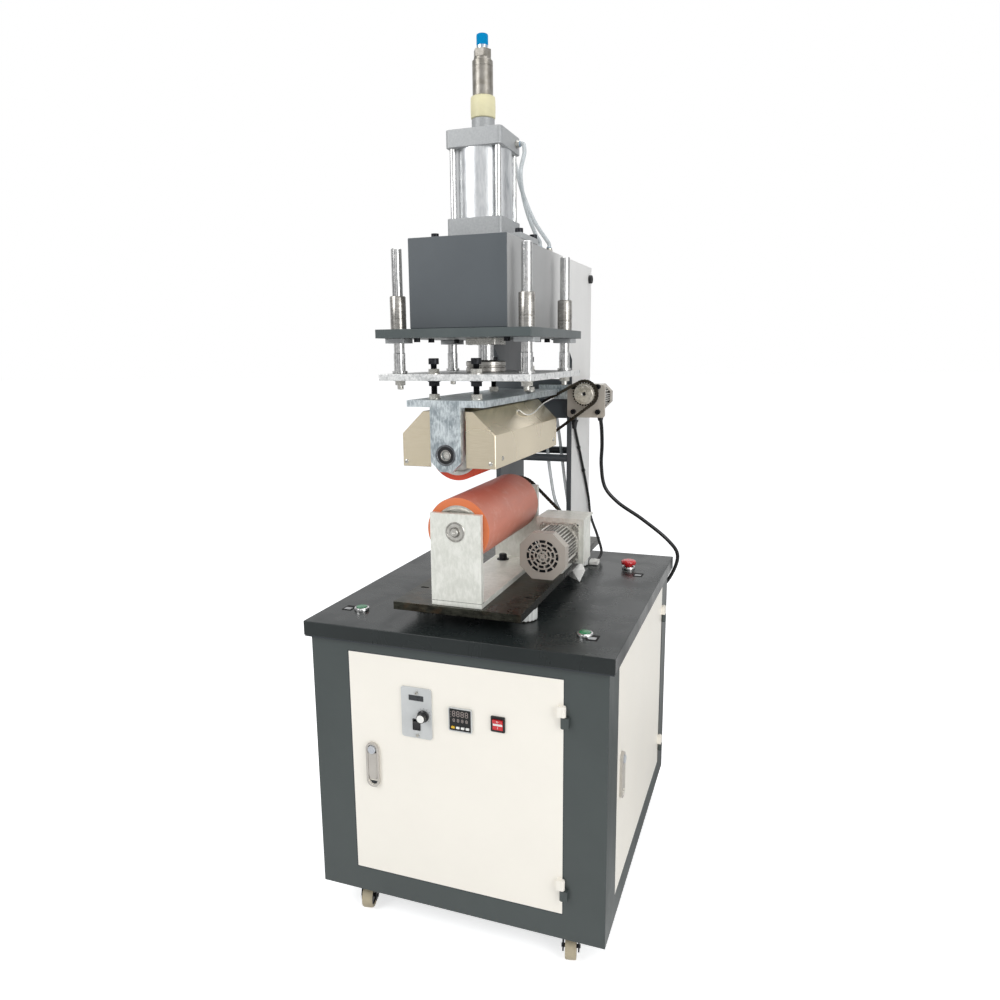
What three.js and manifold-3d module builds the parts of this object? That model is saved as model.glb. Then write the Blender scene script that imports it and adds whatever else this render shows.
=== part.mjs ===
// Roller heat transfer machine: a cabinet on casters, a table, and a C-frame press with two driven rollers.
// Millimetres, +X right, +Y back, +Z up. The origin is on the floor, in the middle of the table's outline.
// Each assembly is a group with an origin of its own, and its pieces are built round that origin.
import * as THREE from "three";
import { mergeVertices } from "three/addons/utils/BufferGeometryUtils.js";
import Module from "manifold-3d";

const wasm = await Module();
wasm.setup();

// Shared fits
const seat = 0.3; // gap between pieces that touch
const running = 0.3; // radial gap round a shaft, pin or plunger
const overrun = 1; // how far a cutting tool runs past the face it opens, and how far joined forms sink

// Rounds: sides of small, middle and large circles
const smallSides = 8;
const middleSides = 12;
const largeSides = 20;

// Casters
const casterHeight = 68;
const casterInsetX = 81;
const casterInsetY = 63;
const casterTurn = 12; // degrees from straight ahead
const casterTrail = 25;
const casterPlate = 60;
const casterPlateThick = 3;
const swivelDiameter = 44;
const swivelHeight = 8;
const swivelTaper = 4;
const forkSheet = 3;
const forkWidth = 34;
const forkFoot = 8;
const wheelDiameter = 50;
const wheelWidth = 22;
const wheelRim = 7;
const wheelDish = 4;
const axleDiameter = 8;
const axleProud = 2;

// Cabinet
const cabinetWidth = 612;
const cabinetDepth = 718;
const cabinetHeight = 583;
const cabinetSheet = 2;
const jambDepth = 24;
const frontStile = 84;
const sideStile = 87.5;
const bottomRail = 54;
const topRail = 52;
const doorDepth = 18;
const doorSheet = 1.5;
const doorGap = 2;

// Lift-off hinges
const knuckleDiameter = 9.2;
const knuckleLength = 21;
const knuckleStandoff = 5.2;
const hingePin = 5;
const hingeTopInset = 70;
const hingeBottomInset = 55;
const leafWidth = 9;
const leafInset = 2;

// Door latches
const latchWidth = 28;
const latchHeight = 96;
const latchProud = 6;
const latchWall = 4;
const latchRise = 2;
const frontLatchInset = 47;
const sideLatchInset = 36;
const latchButtonDiameter = 17;
const latchButtonProud = 3;
const latchButtonTravel = 3;
const latchButtonRoom = 1.2;
const latchStem = 8;
const latchStemLength = 9;
const leverLength = 58;
const leverThick = 5;
const leverPin = 4;
const leverPinDepth = 3;
const leverPinRise = 3;

// Controls on the front door
const controlsDrop = 161; // middle line of the controls below the cabinet's top
const controllerX = 19;
const controllerSize = 48;
const controllerProud = 5;
const controllerCorner = 1.5;
const controllerBodySize = 44;
const controllerBodyDepth = 60;
const displayWidth = 38;
const displayHeight = 22;
const displayRise = 6;
const displayRecess = 1;
const keyCount = 4;
const keyWidth = 7;
const keyHeight = 4.5;
const keyPitch = 10;
const keyProud = 1.4;
const keyThick = 3;
const keyPocket = 3.2;
const keyDrop = 16;
const speedX = -74;
const speedWidth = 65;
const speedHeight = 105;
const speedProud = 3;
const speedCorner = 3;
const speedBodyWidth = 52;
const speedBodyHeight = 84;
const speedBodyDepth = 40;
const speedDisplayWidth = 32;
const speedDisplayHeight = 11;
const speedDisplayRise = 31;
const knobDiameter = 24;
const knobHeight = 16;
const knobDrop = 3;
const knobShift = 16;
const knobSkirt = 3;
const knobStep = 3;
const knobCap = 12;
const knobShaft = 6;
const knobShaftDepth = 12;
const smallRockerWidth = 13;
const smallRockerHeight = 20;
const smallRockerDrop = 24;
const rockerTilt = 8; // degrees
const rockerProud = 3;
const rockerDip = 2;
const rockerAxisDepth = 1;
const rockerRoot = 4;
const rockerTaper = 3;
const rockerPocket = 9;
const powerX = 95;
const powerRise = 3;
const powerWidth = 28;
const powerHeight = 31;
const powerProud = 2.5;
const powerCorner = 1;
const powerRim = 3.5;
const powerBodyDepth = 22;

// Table and its push buttons
const tableOverhangX = 11.5;
const tableOverhangY = 10;
const tableSheet = 3;
const tableLip = 30;
const startInsetX = 78.5;
const startInsetY = 98;
const stopInsetX = 88.5;
const stopInsetY = 151;
const bezelDiameter = 29;
const bezelHeight = 7;
const bezelChamfer = 1.5;
const barrelDiameter = 21.6;
const barrelLength = 42;
const barrelFloor = 4;
const capDiameter = 18;
const capHeight = 4;
const capSink = 2;
const capChamfer = 1.5;
const plungerDiameter = 10;
const plungerLength = 22;
const mushroomDiameter = 35;
const mushroomHeight = 12;
const mushroomLift = 6;
const mushroomNeck = 14;
const mushroomLip = 2;
const mushroomEdge = 8;
const mushroomCrown = 6;
const mushroomDome = 1;

// Machine base and its feet
const baseWidth = 266;
const baseDepth = 666;
const basePlateThick = 16;
const baseFrontY = -321;
const footDiameter = 56;
const footHeight = 28;
const footX = 104;
const footY = 215;
const slotLength = 18;
const slotWidth = 8;
const slotX = 114;
const slotDepth = 6;

// Column and head
const columnWidth = 192;
const sidePlate = 12;
const columnDepth = 183;
const columnRearY = 345;
const columnHeight = 689;
const armFrontY = -293;
const headHeight = 163;
const gussetLength = 80;
const gussetReach = 136;
const gussetFall = 43;
const gussetDrop = 18;
const crossPlateThick = 10;
const crossPlateHeight = 92;
const crossPlateRise = 328;
const tieBarDiameter = 18;
const tieBarRise = 231;
const coverSheet = 3;
const coverLift = 1;
const topPlateThick = 10;
const rodHole = 56;

// Cylinder
const pressY = -152; // axis of the cylinder
const flangeWidth = 192;
const flangeDepth = 107;
const flangeThick = 11;
const flangeAhead = 61;
const endCapSize = 112;
const endCapCorner = 8;
const lowerCapHeight = 33;
const upperCapHeight = 32;
const tubeLength = 126;
const tubeDiameter = 108;
const tubeBore = 100;
const tieRodDiameter = 12;
const tieRodInset = 11;
const bossDiameter = 44;
const bossHeight = 27;
const rodDiameter = 30;

// What rides on the piston rod
const pistonHeight = 24;
const pistonRest = 30;
const topRodDiameter = 22;
const flangeNutDiameter = 80;
const flangeNutHeight = 22;
const bumperDiameter = 47;
const bumperHeight = 39;
const stopSleeveDiameter = 39;
const stopSleeveHeight = 63;
const topNutFlats = 30;
const topNutHeight = 14;
const topNutGap = 5;
const rodCapDiameter = 22;
const rodCapHeight = 27;
const rodCapChamfer = 2;

// Guides: mounting plate, bushings, gland and rods
const mountWidth = 304;
const mountDepth = 353;
const mountAhead = 178;
const mountThick = 16;
const guideSpan = 128; // each guide rod stands this far from the cylinder's axis both ways
const guideDiameter = 20;
const guideRise = 230;
const guideSleeve = 22;
const guideSleeveRise = 38;
const guideRelief = 8;
const bushingDiameter = 30;
const bushingRise = 62;
const bushingFlange = 40;
const bushingFlangeThick = 9;
const glandSize = 64;
const glandThick = 12;

// Carriage: drive plate and its adjusting bolts
const pressGap = 66; // mounting plate down to drive plate
const driveWidth = 300;
const driveDepth = 352;
const driveAhead = 174;
const driveThick = 12;
const studNutFlats = 19;
const studNutHeight = 9;
const studDiameter = 12;
const studLength = 18;
const adjusterGap = 34; // drive plate down to carrier plate
const adjusterX = 42;
const adjusterAhead = 160;
const adjusterBehind = 156;
const adjusterDiameter = 12;
const adjusterHeadFlats = 17;
const adjusterHeadHeight = 8;
const adjusterRise = 29;
const adjusterNutFlats = 19;
const adjusterNutHeight = 8;
const adjusterTail = 6;

// Carrier plate and its hangers
const rollerX = -5; // line of both rollers
const carrierWidth = 152;
const carrierDepth = 492;
const carrierThick = 12;
const carrierAhead = 51; // carrier plate's front edge before the roller's end
const upperAxisDrop = 87;
const hangerWidth = 60;
const hangerThick = 12;
const hangerBackThick = 10;
const hangerChamfer = 18;
const hangerTail = 31;
const rearHangerGap = 19; // rear hanger behind the roller's end
const bearingDiameter = 35;
const bearingInner = 23;
const bearingRecess = 1;
const notchReach = 20;
const notchWidth = 14;

// Hood over the upper roller
const hoodHalfWidth = 92;
const hoodTopHalf = 49;
const hoodTopDrop = 8;
const hoodSlope = 42;
const hoodSide = 61;
const hoodSheet = 1.5;
const hoodAhead = 39; // hood's front before the roller's end
const hoodOverhang = 88; // hood's length beyond the roller's
const hoodSlotWidth = 70;
const hoodRoom = 4;
const hoodPad = 30;
const hoodPadFrontY = -250;
const hoodPadRearY = -60;

// Rollers
const rollerLength = 312;
const rollerFrontY = -299;
const upperRollerDiameter = 108;
const upperRubber = 10;
const lowerRollerDiameter = 128;
const lowerRubber = 15;
const lowerAxisHeight = 148;
const coreWall = 8;
const coreRecess = 6;
const shaftDiameter = 15;
const shaftSink = 3;
const shaftProud = 6.5;
const shaftTail = 8;
const hubDiameter = 34;
const hubGap = 3;
const uprightWidth = 104;
const uprightThick = 12;
const uprightHeight = 183;
const uprightFrontGap = 15; // front upright before the roller's end
const uprightRearGap = 32; // rear upright behind the roller's end
const stripThick = 10;

// Chain drives
const chainPitch = 6.35;
const upperTeeth = 38;
const lowerTeeth = 44;
const motorTeeth = 26;
const toothRise = 1.6;
const toothFall = 1.5;
const toothThick = 2.6;
const rootShare = 0.2; // half of a tooth gap's flat root, as a share of the tooth's step
const chainInner = 3.4;
const linkPlate = 0.9;
const linkHeight = 5.6;
const chainPinDiameter = 2.4;
const chainLift = 3.2; // the chain's line above the teeth's pitch line
const chainPinSides = 4;
const pinLinkCount = 4; // links from one pin to the next
const chainArcSteps = 9;
const upperChainY = 127;
const lowerChainGap = 15; // lower chain behind the rear upright

// Upper gear motor
const upperMotorX = 134.7;
const upperMotorRise = 88.5; // motor shaft above the roller's axis
const motorShaftDiameter = 10;
const motorShaftDepth = 20;
const motorHubDiameter = 40;
const motorHubLength = 9;
const upperPlateWidth = 89;
const upperPlateHeight = 76;
const upperPlateThick = 8;
const upperPlateBehind = 15.5;
const upperPlateOver = 10;
const upperArmLength = 70;
const upperArmHeight = 34;
const upperShaftOffset = 13;
const upperGearboxSize = 70;
const upperGearboxDepth = 46;
const upperMotorAcross = 62;
const upperMotorLength = 100;
const octagonShare = 0.2929; // a regular octagon's cut corner, as a share of its width

// Lower gear motor
const lowerMotorX = 122;
const lowerMotorFall = 95; // motor shaft below the roller's axis
const lowerShaftOffset = 20;
const lowerGearboxSize = 90;
const lowerGearboxShort = 6;
const lowerBracketWidth = 107;
const lowerBracketTop = 53;
const lowerBracketDown = 46;
const lowerBracketThick = 8;
const lowerBracketDepth = 87;
const lowerBracketRoof = 4;
const lowerBracketAhead = 102;
const lowerMotorAhead = 235;
const fanCoverDepth = 25;
const fanCoverAcross = 92;
const fanSlotCount = 8;
const fanSlotInner = 16;
const fanSlotOuter = 37;
const fanSlotWidth = 8;
const fanSlotDepth = 3;
const fanSlotShare = 0.38; // half of a slot's length, as a share of its step
const finDiameter = 88;
const finRoot = 80;
const finCount = 18;
const finShare = 0.4; // a fin's width, as a share of its step

// Cords and what they come out of
const cordSides = 8;
const cordStep = 3; // diameters between two sections of a cord
const motorCableDiameter = 9.5;
const motorCableGland = 15;
const postCableDiameter = 7;
const cableEntryWidth = 13;
const cableEntryHeight = 14;
const rearGlandDiameter = 20;
const rearGlandLength = 8;
const rearGlandInset = 26;
const rearGlandDrop = 83; // below the cabinet's top
const plugWidth = 22;
const plugLength = 26;
const plugHeight = 11;
const airTubeDiameter = 8;
const fittingDiameter = 14;
const fittingLength = 8;
const cylinderFittingY = 28; // behind the cylinder's axis
const cylinderFittingDrop = 16;
const headFittingX = 72;
const headFittingY = -18;
const postFittingX = [22, 46];
const postFittingRise = 369.4;

// Routes of the cords, with z counted from the cabinet's top
const motorCablePoints = [
  [140, 275, 382.8],
  [140, 275, 372],
  [140.5, 288, 342],
  [137, 312, 297],
  [132, 330, 241],
  [141, 338, 183],
  [172, 346, 145],
  [236, 356, 101],
  [303, 366, 47],
  [326, 384, 9],
  [322, 392, -27],
  [296, 390, -77],
  [281, 380, -83],
  [280, 374, -83],
  [280, 367.3, -83],
];
const postCablePoints = [
  [101, 169, 371],
  [101, 170, 359],
  [101, 231, 279],
  [101, 321, 158],
  [106, 328, 107],
  [131, 306, 57],
  [147, 280, 23],
  [143, 260, 10],
  [140, 244, 9.1],
];
const airTubePoints = [
  [64.3, -124, 923],
  [70, -124, 923],
  [76, -132, 907],
  [74, -150, 865],
  [68, -104, 815],
  [71, -40, 765],
  [72, -18, 755],
  [72, -18, 745.2],
];
const hangingTubePoints = [
  [22, 180.3, 417],
  [22, 190, 417],
  [23, 198, 397],
  [26, 194, 310],
  [38, 186, 229],
  [51, 184, 169],
  [66, 190, 139],
  [74, 214, 133],
  [68, 240, 149],
  [56, 252, 207],
  [48, 240, 297],
  [46, 200, 393],
  [46, 190, 417],
  [46, 180.3, 417],
];

// Heights from the floor
const cabinetTopZ = casterHeight + cabinetHeight;
const tableTopZ = cabinetTopZ + seat + tableSheet;
const baseTopZ = tableTopZ + seat + footHeight + basePlateThick;

// Heights from the top of the base plate
const headTop = seat + columnHeight;
const armUnder = headTop - headHeight;
const mountBottom = armUnder - seat - mountThick;
const driveTop = mountBottom - pressGap;
const driveBottom = driveTop - driveThick;
const carrierTop = driveBottom - adjusterGap;
const carrierBottom = carrierTop - carrierThick;
const upperAxis = carrierBottom - upperAxisDrop;
const lowerAxis = lowerAxisHeight;
const upperMotorAxis = upperAxis + upperMotorRise;
const lowerMotorAxis = lowerAxis - lowerMotorFall;

// Heights from the top of the head
const lowerCapFoot = seat + flangeThick;
const tubeFoot = lowerCapFoot + lowerCapHeight;
const upperCapFoot = tubeFoot + tubeLength;
const bossTop = upperCapFoot + upperCapHeight + bossHeight;

// Places that follow from the sizes
const controlsHeight = cabinetHeight - controlsDrop;
const rollerRearY = rollerFrontY + rollerLength;
const carrierFrontY = rollerFrontY - carrierAhead;
const rearHangerY = rollerRearY + rearHangerGap;
const hoodFrontY = rollerFrontY - hoodAhead;
const hoodLength = rollerLength + hoodOverhang;
const uprightFrontY = rollerFrontY - uprightFrontGap;
const uprightRearY = rollerRearY + uprightRearGap;
const lowerChainY = uprightRearY + uprightThick + lowerChainGap;
const frontY = -cabinetDepth / 2;
const rightX = cabinetWidth / 2;
const casterX = rightX - casterInsetX;
const casterY = cabinetDepth / 2 - casterInsetY;
const tableHalfX = rightX + tableOverhangX;
const tableHalfY = cabinetDepth / 2 + tableOverhangY;
const columnFrontY = columnRearY - columnDepth;
const columnInner = columnWidth / 2 - sidePlate;
const SIDES = [-1, 1];

// Helpers: geometry to solid and back
function solidOf(geometry) {
  const bare = geometry.clone();
  bare.deleteAttribute("normal");
  bare.deleteAttribute("uv");
  const merged = mergeVertices(bare, 1e-4);
  return new wasm.Manifold(
    new wasm.Mesh({
      numProp: 3,
      vertProperties: merged.getAttribute("position").array,
      triVerts: new Uint32Array(merged.index.array),
    }),
  );
}

function geometryOf(solid) {
  const mesh = solid.getMesh();
  const geometry = new THREE.BufferGeometry();
  geometry.setAttribute("position", new THREE.BufferAttribute(mesh.vertProperties, mesh.numProp));
  geometry.setIndex(new THREE.BufferAttribute(mesh.triVerts, 1));
  const flat = geometry.toNonIndexed();
  flat.computeVertexNormals();
  return flat;
}

const join = (...solids) => solids.reduce((a, b) => a.add(b));
const cut = (solid, ...tools) => tools.reduce((a, b) => a.subtract(b), solid);

// A solid turned round the upright axis and moved
function moved(solid, [x, y, z], degrees = 0) {
  const geometry = geometryOf(solid);
  geometry.rotateZ(THREE.MathUtils.degToRad(degrees));
  geometry.translate(x, y, z);
  return solidOf(geometry);
}

// A block from its low corner to its high corner
function block([x0, y0, z0], [x1, y1, z1]) {
  const geometry = new THREE.BoxGeometry(x1 - x0, y1 - y0, z1 - z0);
  geometry.translate((x0 + x1) / 2, (y0 + y1) / 2, (z0 + z1) / 2);
  return solidOf(geometry);
}

// A block round a middle in X and Z, from one Y to another
const slab = (x, z, width, height, fromY, toY) =>
  block([x - width / 2, fromY, z - height / 2], [x + width / 2, toY, z + height / 2]);

// A block round a middle in X and Y, from one Z to another
const pad = (x, y, width, depth, fromZ, toZ) =>
  block([x - width / 2, y - depth / 2, fromZ], [x + width / 2, y + depth / 2, toZ]);

// A round bar along an axis, from one coordinate to another
function bar(axis, from, to, diameter, [a, b] = [0, 0], sides = middleSides) {
  const geometry = new THREE.CylinderGeometry(diameter / 2, diameter / 2, to - from, sides);
  return laid(geometry, axis, (from + to) / 2, a, b);
}

// A hexagon bar, sized across its flats
const hexBar = (axis, from, to, flats, spot) => bar(axis, from, to, flats / Math.cos(Math.PI / 6), spot, 6);

function laid(geometry, axis, middle, a, b) {
  if (axis === "x") {
    geometry.rotateZ(-Math.PI / 2);
    geometry.translate(middle, a, b);
  } else if (axis === "y") {
    geometry.translate(a, middle, b);
  } else {
    geometry.rotateX(Math.PI / 2);
    geometry.translate(a, b, middle);
  }
  return solidOf(geometry);
}

// A turned piece: profile points are [radius, along]
function turned(axis, profile, [a, b] = [0, 0], sides = middleSides) {
  const points = profile.map(([radius, along]) => new THREE.Vector2(radius, along));
  return laid(new THREE.LatheGeometry(points, sides), axis, 0, a, b);
}

// An outline in X and Z, pushed from one Y to another
function pushedY(points, fromY, toY, holes = []) {
  const geometry = new THREE.ExtrudeGeometry(shapeOf(points, holes), {
    depth: toY - fromY,
    bevelEnabled: false,
  });
  geometry.rotateX(Math.PI / 2);
  geometry.translate(0, toY, 0);
  return solidOf(geometry);
}

// An outline in Y and Z, pushed from one X to another
function pushedX(points, fromX, toX) {
  const geometry = new THREE.ExtrudeGeometry(shapeOf(points), {
    depth: toX - fromX,
    bevelEnabled: false,
  });
  geometry.rotateX(Math.PI / 2);
  geometry.rotateZ(Math.PI / 2);
  geometry.translate(fromX, 0, 0);
  return solidOf(geometry);
}

// An outline in X and Y, pushed from one Z to another
function pushedZ(points, fromZ, toZ) {
  const geometry = new THREE.ExtrudeGeometry(shapeOf(points), {
    depth: toZ - fromZ,
    bevelEnabled: false,
  });
  geometry.translate(0, 0, fromZ);
  return solidOf(geometry);
}

const vectors = (points) => points.map(([x, y]) => new THREE.Vector2(x, y));

function shapeOf(points, holes = []) {
  const shape = new THREE.Shape(vectors(points));
  shape.holes = holes.map((hole) => new THREE.Path(vectors(hole)));
  return shape;
}

const onCircle = ([x, y], radius, turn) => [x + radius * Math.cos(turn), y + radius * Math.sin(turn)];

const circlePoints = (middle, radius, sides) =>
  Array.from({ length: sides }, (_, i) => onCircle(middle, radius, (2 * Math.PI * i) / sides));

const arcPoints = (middle, radius, from, to, steps) =>
  Array.from({ length: steps + 1 }, (_, i) => onCircle(middle, radius, from + ((to - from) * i) / steps));

// A rectangle with cut corners
const octagonPoints = ([x, y], halfWidth, halfHeight, corner) => [
  [x - halfWidth + corner, y - halfHeight],
  [x + halfWidth - corner, y - halfHeight],
  [x + halfWidth, y - halfHeight + corner],
  [x + halfWidth, y + halfHeight - corner],
  [x + halfWidth - corner, y + halfHeight],
  [x - halfWidth + corner, y + halfHeight],
  [x - halfWidth, y + halfHeight - corner],
  [x - halfWidth, y - halfHeight + corner],
];

const octagonSlab = (x, z, width, height, corner, fromY, toY) =>
  pushedY(octagonPoints([x, z], width / 2, height / 2, corner), fromY, toY);

// A round cord along points chosen by hand
function cord(points, diameter) {
  const curve = new THREE.CatmullRomCurve3(
    points.map(([x, y, z]) => new THREE.Vector3(x, y, z)),
    false,
    "centripetal",
  );
  const section = new THREE.Shape(vectors(circlePoints([0, 0], diameter / 2, cordSides)));
  const geometry = new THREE.ExtrudeGeometry(section, {
    steps: Math.round(curve.getLength() / (cordStep * diameter)),
    extrudePath: curve,
    bevelEnabled: false,
  });
  return solidOf(geometry);
}

// Finishes
const finish = (color, roughness, metalness) =>
  new THREE.MeshStandardMaterial({ color, roughness, metalness });
const darkPaint = finish(0x4a5556, 0.55, 0.2);
const palePaint = finish(0xb9bdbd, 0.5, 0.2);
const creamPaint = finish(0xf3efe6, 0.45, 0.05);
const blackSteel = finish(0x2c3232, 0.5, 0.5);
const zincSteel = finish(0xb4b8bb, 0.4, 0.85);
const brightSteel = finish(0xd8dadc, 0.2, 0.95);
const stainless = finish(0xd8d0be, 0.35, 0.8);
const castAlloy = finish(0xa39b8e, 0.5, 0.7);
const cylinderAlloy = finish(0xc9ccce, 0.35, 0.8);
const blackPlastic = finish(0x17191a, 0.45, 0);
const greyPlastic = finish(0x8f9493, 0.5, 0);
const whitePlastic = finish(0xf0f0ec, 0.4, 0);
const redPlastic = finish(0xc81f24, 0.35, 0);
const greenPlastic = finish(0x2f9e4f, 0.35, 0);
const yellowPlastic = finish(0xe0b020, 0.4, 0);
const redRubber = finish(0xd2572f, 0.6, 0);
const creamRubber = finish(0xe6d6a8, 0.6, 0);
const beigeRubber = finish(0xb9ad92, 0.7, 0);
const chainSteel = finish(0x3a3833, 0.45, 0.7);
const clearTube = finish(0xdfe6e6, 0.2, 0);

const machine = new THREE.Group();

// An assembly: a group placed in its parent, turned round its upright axis
function assembly(parent, [x, y, z], degrees = 0) {
  const group = new THREE.Group();
  group.position.set(x, y, z);
  group.rotation.z = THREE.MathUtils.degToRad(degrees);
  parent.add(group);
  return group;
}

// One rigid piece of an assembly, built round its own origin and placed in the assembly
function piece(parent, name, solid, material, [x, y, z] = [0, 0, 0]) {
  const mesh = new THREE.Mesh(geometryOf(solid), material);
  mesh.name = name;
  mesh.position.set(x, y, z);
  parent.add(mesh);
}

// Door openings, seen from the front: the door's face is at y = 0, and z counts from the cabinet's underside
const opening = (lo, hi, z0, z1) => ({ lo, hi, z0, z1 });
const grown = (hole, by) => opening(hole.lo - by, hole.hi + by, hole.z0 - by, hole.z1 + by);
const doorTop = cabinetHeight - topRail;
const frontOpening = opening(frontStile - rightX, rightX - frontStile, bottomRail, doorTop);
const sideOpening = opening(frontY + sideStile, -frontY - sideStile, bottomRail, doorTop);

// A sheet with a door opening and its folded returns
function openedSheet(lo, hi, hole) {
  const outer = grown(hole, doorGap + cabinetSheet);
  const inner = grown(hole, doorGap);
  const sheet = block([lo, 0, 0], [hi, cabinetSheet, cabinetHeight]);
  const returns = block([outer.lo, 0, outer.z0], [outer.hi, jambDepth, outer.z1]);
  const tool = block([inner.lo, -overrun, inner.z0], [inner.hi, jambDepth + overrun, inner.z1]);
  return cut(join(sheet, returns), tool);
}

const hingeHeights = (hole) => [hole.z1 - hingeTopInset, hole.z0 + hingeBottomInset];
const hingeAxis = (hole) => [hole.hi + doorGap / 2, -knuckleStandoff];

// Lower halves of the hinges, with their pins, standing on the frame
function frameHinges(hole) {
  const [x, y] = hingeAxis(hole);
  const front = y - knuckleDiameter / 2 + seat;
  const back = y + knuckleDiameter / 2 - leafInset;
  return hingeHeights(hole).map((z) =>
    join(
      bar("z", z - knuckleLength, z, knuckleDiameter, [x, y], smallSides),
      block([x + doorGap, front, z - knuckleLength], [x + doorGap + leafWidth, cabinetSheet / 2, z]),
      block([x, front, z - knuckleLength], [x + doorGap + overrun, back, z]),
      bar("z", z - overrun, z + knuckleLength - seat, hingePin, [x, y], smallSides),
    ),
  );
}

// Upper halves of the hinges, on the door
function doorHinges(hole) {
  const [x, y] = hingeAxis(hole);
  const front = y - knuckleDiameter / 2 + seat;
  const back = y + knuckleDiameter / 2 - leafInset;
  return hingeHeights(hole).map((z) => {
    const z0 = z + seat;
    const z1 = z + knuckleLength;
    const half = join(
      bar("z", z0, z1, knuckleDiameter, [x, y], smallSides),
      block([x - doorGap - leafWidth, front, z0], [x - doorGap, doorSheet / 2, z1]),
      block([x - doorGap - overrun, front, z0], [x, back, z1]),
    );
    return cut(half, bar("z", z0 - overrun, z1 + overrun, hingePin + 2 * running, [x, y], smallSides));
  });
}

// A door as a folded pan, open at the back
function doorPan(hole) {
  const hollow = grown(hole, -doorSheet);
  return cut(
    block([hole.lo, 0, hole.z0], [hole.hi, doorDepth, hole.z1]),
    block([hollow.lo, doorSheet, hollow.z0], [hollow.hi, doorDepth + overrun, hollow.z1]),
  );
}

// Cabinet shell: left, rear and floor sheets, with the casters' plates under the floor and a cable gland
function cabinetShell() {
  const inner = frontY + cabinetSheet + seat;
  const backY = -frontY;
  const right = rightX - cabinetSheet - seat;
  const plates = SIDES.flatMap((sideX) =>
    SIDES.map((sideY) =>
      pad(sideX * casterX, sideY * casterY, casterPlate, casterPlate, -casterPlateThick, cabinetSheet / 2),
    ),
  );
  return join(
    block([-rightX, inner, 0], [-rightX + cabinetSheet, backY, cabinetHeight]),
    block([-rightX, backY - cabinetSheet, 0], [right, backY, cabinetHeight]),
    block([-rightX, inner, 0], [right, backY, cabinetSheet]),
    bar("y", backY - cabinetSheet / 2, backY + rearGlandLength, rearGlandDiameter, [
      rightX - rearGlandInset,
      cabinetHeight - rearGlandDrop,
    ]),
    ...plates,
  );
}

// Door frame: the front and right sheets in one piece, with their halves of the hinges
function doorFrame() {
  const front = join(openedSheet(-rightX, rightX, frontOpening), ...frameHinges(frontOpening));
  const sideRear = -frontY - cabinetSheet - seat;
  const side = join(openedSheet(frontY, sideRear, sideOpening), ...frameHinges(sideOpening));
  return join(moved(front, [0, frontY, 0]), moved(side, [rightX, 0, 0], 90));
}

// Latch: a case with a pocket, a lever on a pin at its bottom end, and a round button over it
function latchSpot(hole, inset) {
  const z = (hole.z0 + hole.z1) / 2 + latchRise;
  const bottom = z - latchHeight / 2;
  const top = z + latchHeight / 2;
  return {
    x: hole.lo + inset,
    bottom,
    top,
    buttonZ: top - latchWidth / 2,
    pivotZ: bottom + latchWidth / 2 + leverPinRise,
  };
}

function stadium(x, z0, z1, width, fromY, toY) {
  const radius = width / 2;
  return join(
    block([x - radius, fromY, z0 + radius], [x + radius, toY, z1 - radius]),
    bar("y", fromY, toY, width, [x, z0 + radius]),
    bar("y", fromY, toY, width, [x, z1 - radius]),
  );
}

function latchCase({ x, bottom, top }) {
  return stadium(x, bottom, top, latchWidth, -latchProud, doorSheet / 2);
}

function latchTools({ x, bottom, top, buttonZ, pivotZ }) {
  const pocketWidth = latchWidth - 2 * latchWall;
  const pinReach = latchWidth / 2 - latchWall / 2;
  return [
    stadium(x, bottom + latchWall, top - latchWall, pocketWidth, -latchProud - overrun, 0),
    bar("y", -overrun, doorDepth, latchStem + 2 * running, [x, buttonZ], smallSides),
    bar("x", x - pinReach, x + pinReach, leverPin + 2 * running, [-leverPinDepth, pivotZ], smallSides),
  ];
}

function latchLever({ x, buttonZ, pivotZ }) {
  const half = latchWidth / 2 - latchWall - seat;
  const pinReach = latchWidth / 2 - latchWall / 2 - seat;
  const front = -leverPinDepth - leverThick / 2;
  const back = -leverPinDepth + leverThick / 2;
  const tipZ = pivotZ + leverLength - half;
  const button = latchButtonDiameter + latchButtonRoom;
  return cut(
    join(
      block([x - half, front, pivotZ], [x + half, back, tipZ]),
      bar("y", front, back, 2 * half, [x, tipZ], smallSides),
      bar("x", x - half, x + half, leverThick, [-leverPinDepth, pivotZ], smallSides),
      bar("x", x - pinReach, x + pinReach, leverPin, [-leverPinDepth, pivotZ], smallSides),
    ),
    bar("y", -latchProud - overrun, overrun, button, [x, buttonZ]),
  );
}

function latchButton({ x, buttonZ }) {
  const spot = [x, buttonZ];
  const face = -latchProud - latchButtonProud;
  const stemEnd = latchStemLength - latchButtonTravel;
  return join(
    bar("y", face, -latchButtonTravel - seat, latchButtonDiameter, spot),
    bar("y", -latchButtonTravel - overrun, stemEnd, latchStem, spot, smallSides),
  );
}

// A door in its opening, with its latch: name is front or side
function door(side, name, hole, inset, holes = []) {
  const spot = latchSpot(hole, inset);
  const panel = join(doorPan(hole), ...doorHinges(hole), latchCase(spot));
  piece(side, name + "_door", cut(panel, ...latchTools(spot), ...holes), creamPaint);
  piece(side, name + "_latch_lever", latchLever(spot), greyPlastic);
  piece(side, name + "_latch_button", latchButton(spot), greyPlastic);
}

// Temperature controller: a bezel with a sunk display, a body behind the door, and four keys
const keyX = (i) => controllerX + (i - (keyCount - 1) / 2) * keyPitch;
const keyZ = controlsHeight - keyDrop;

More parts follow.
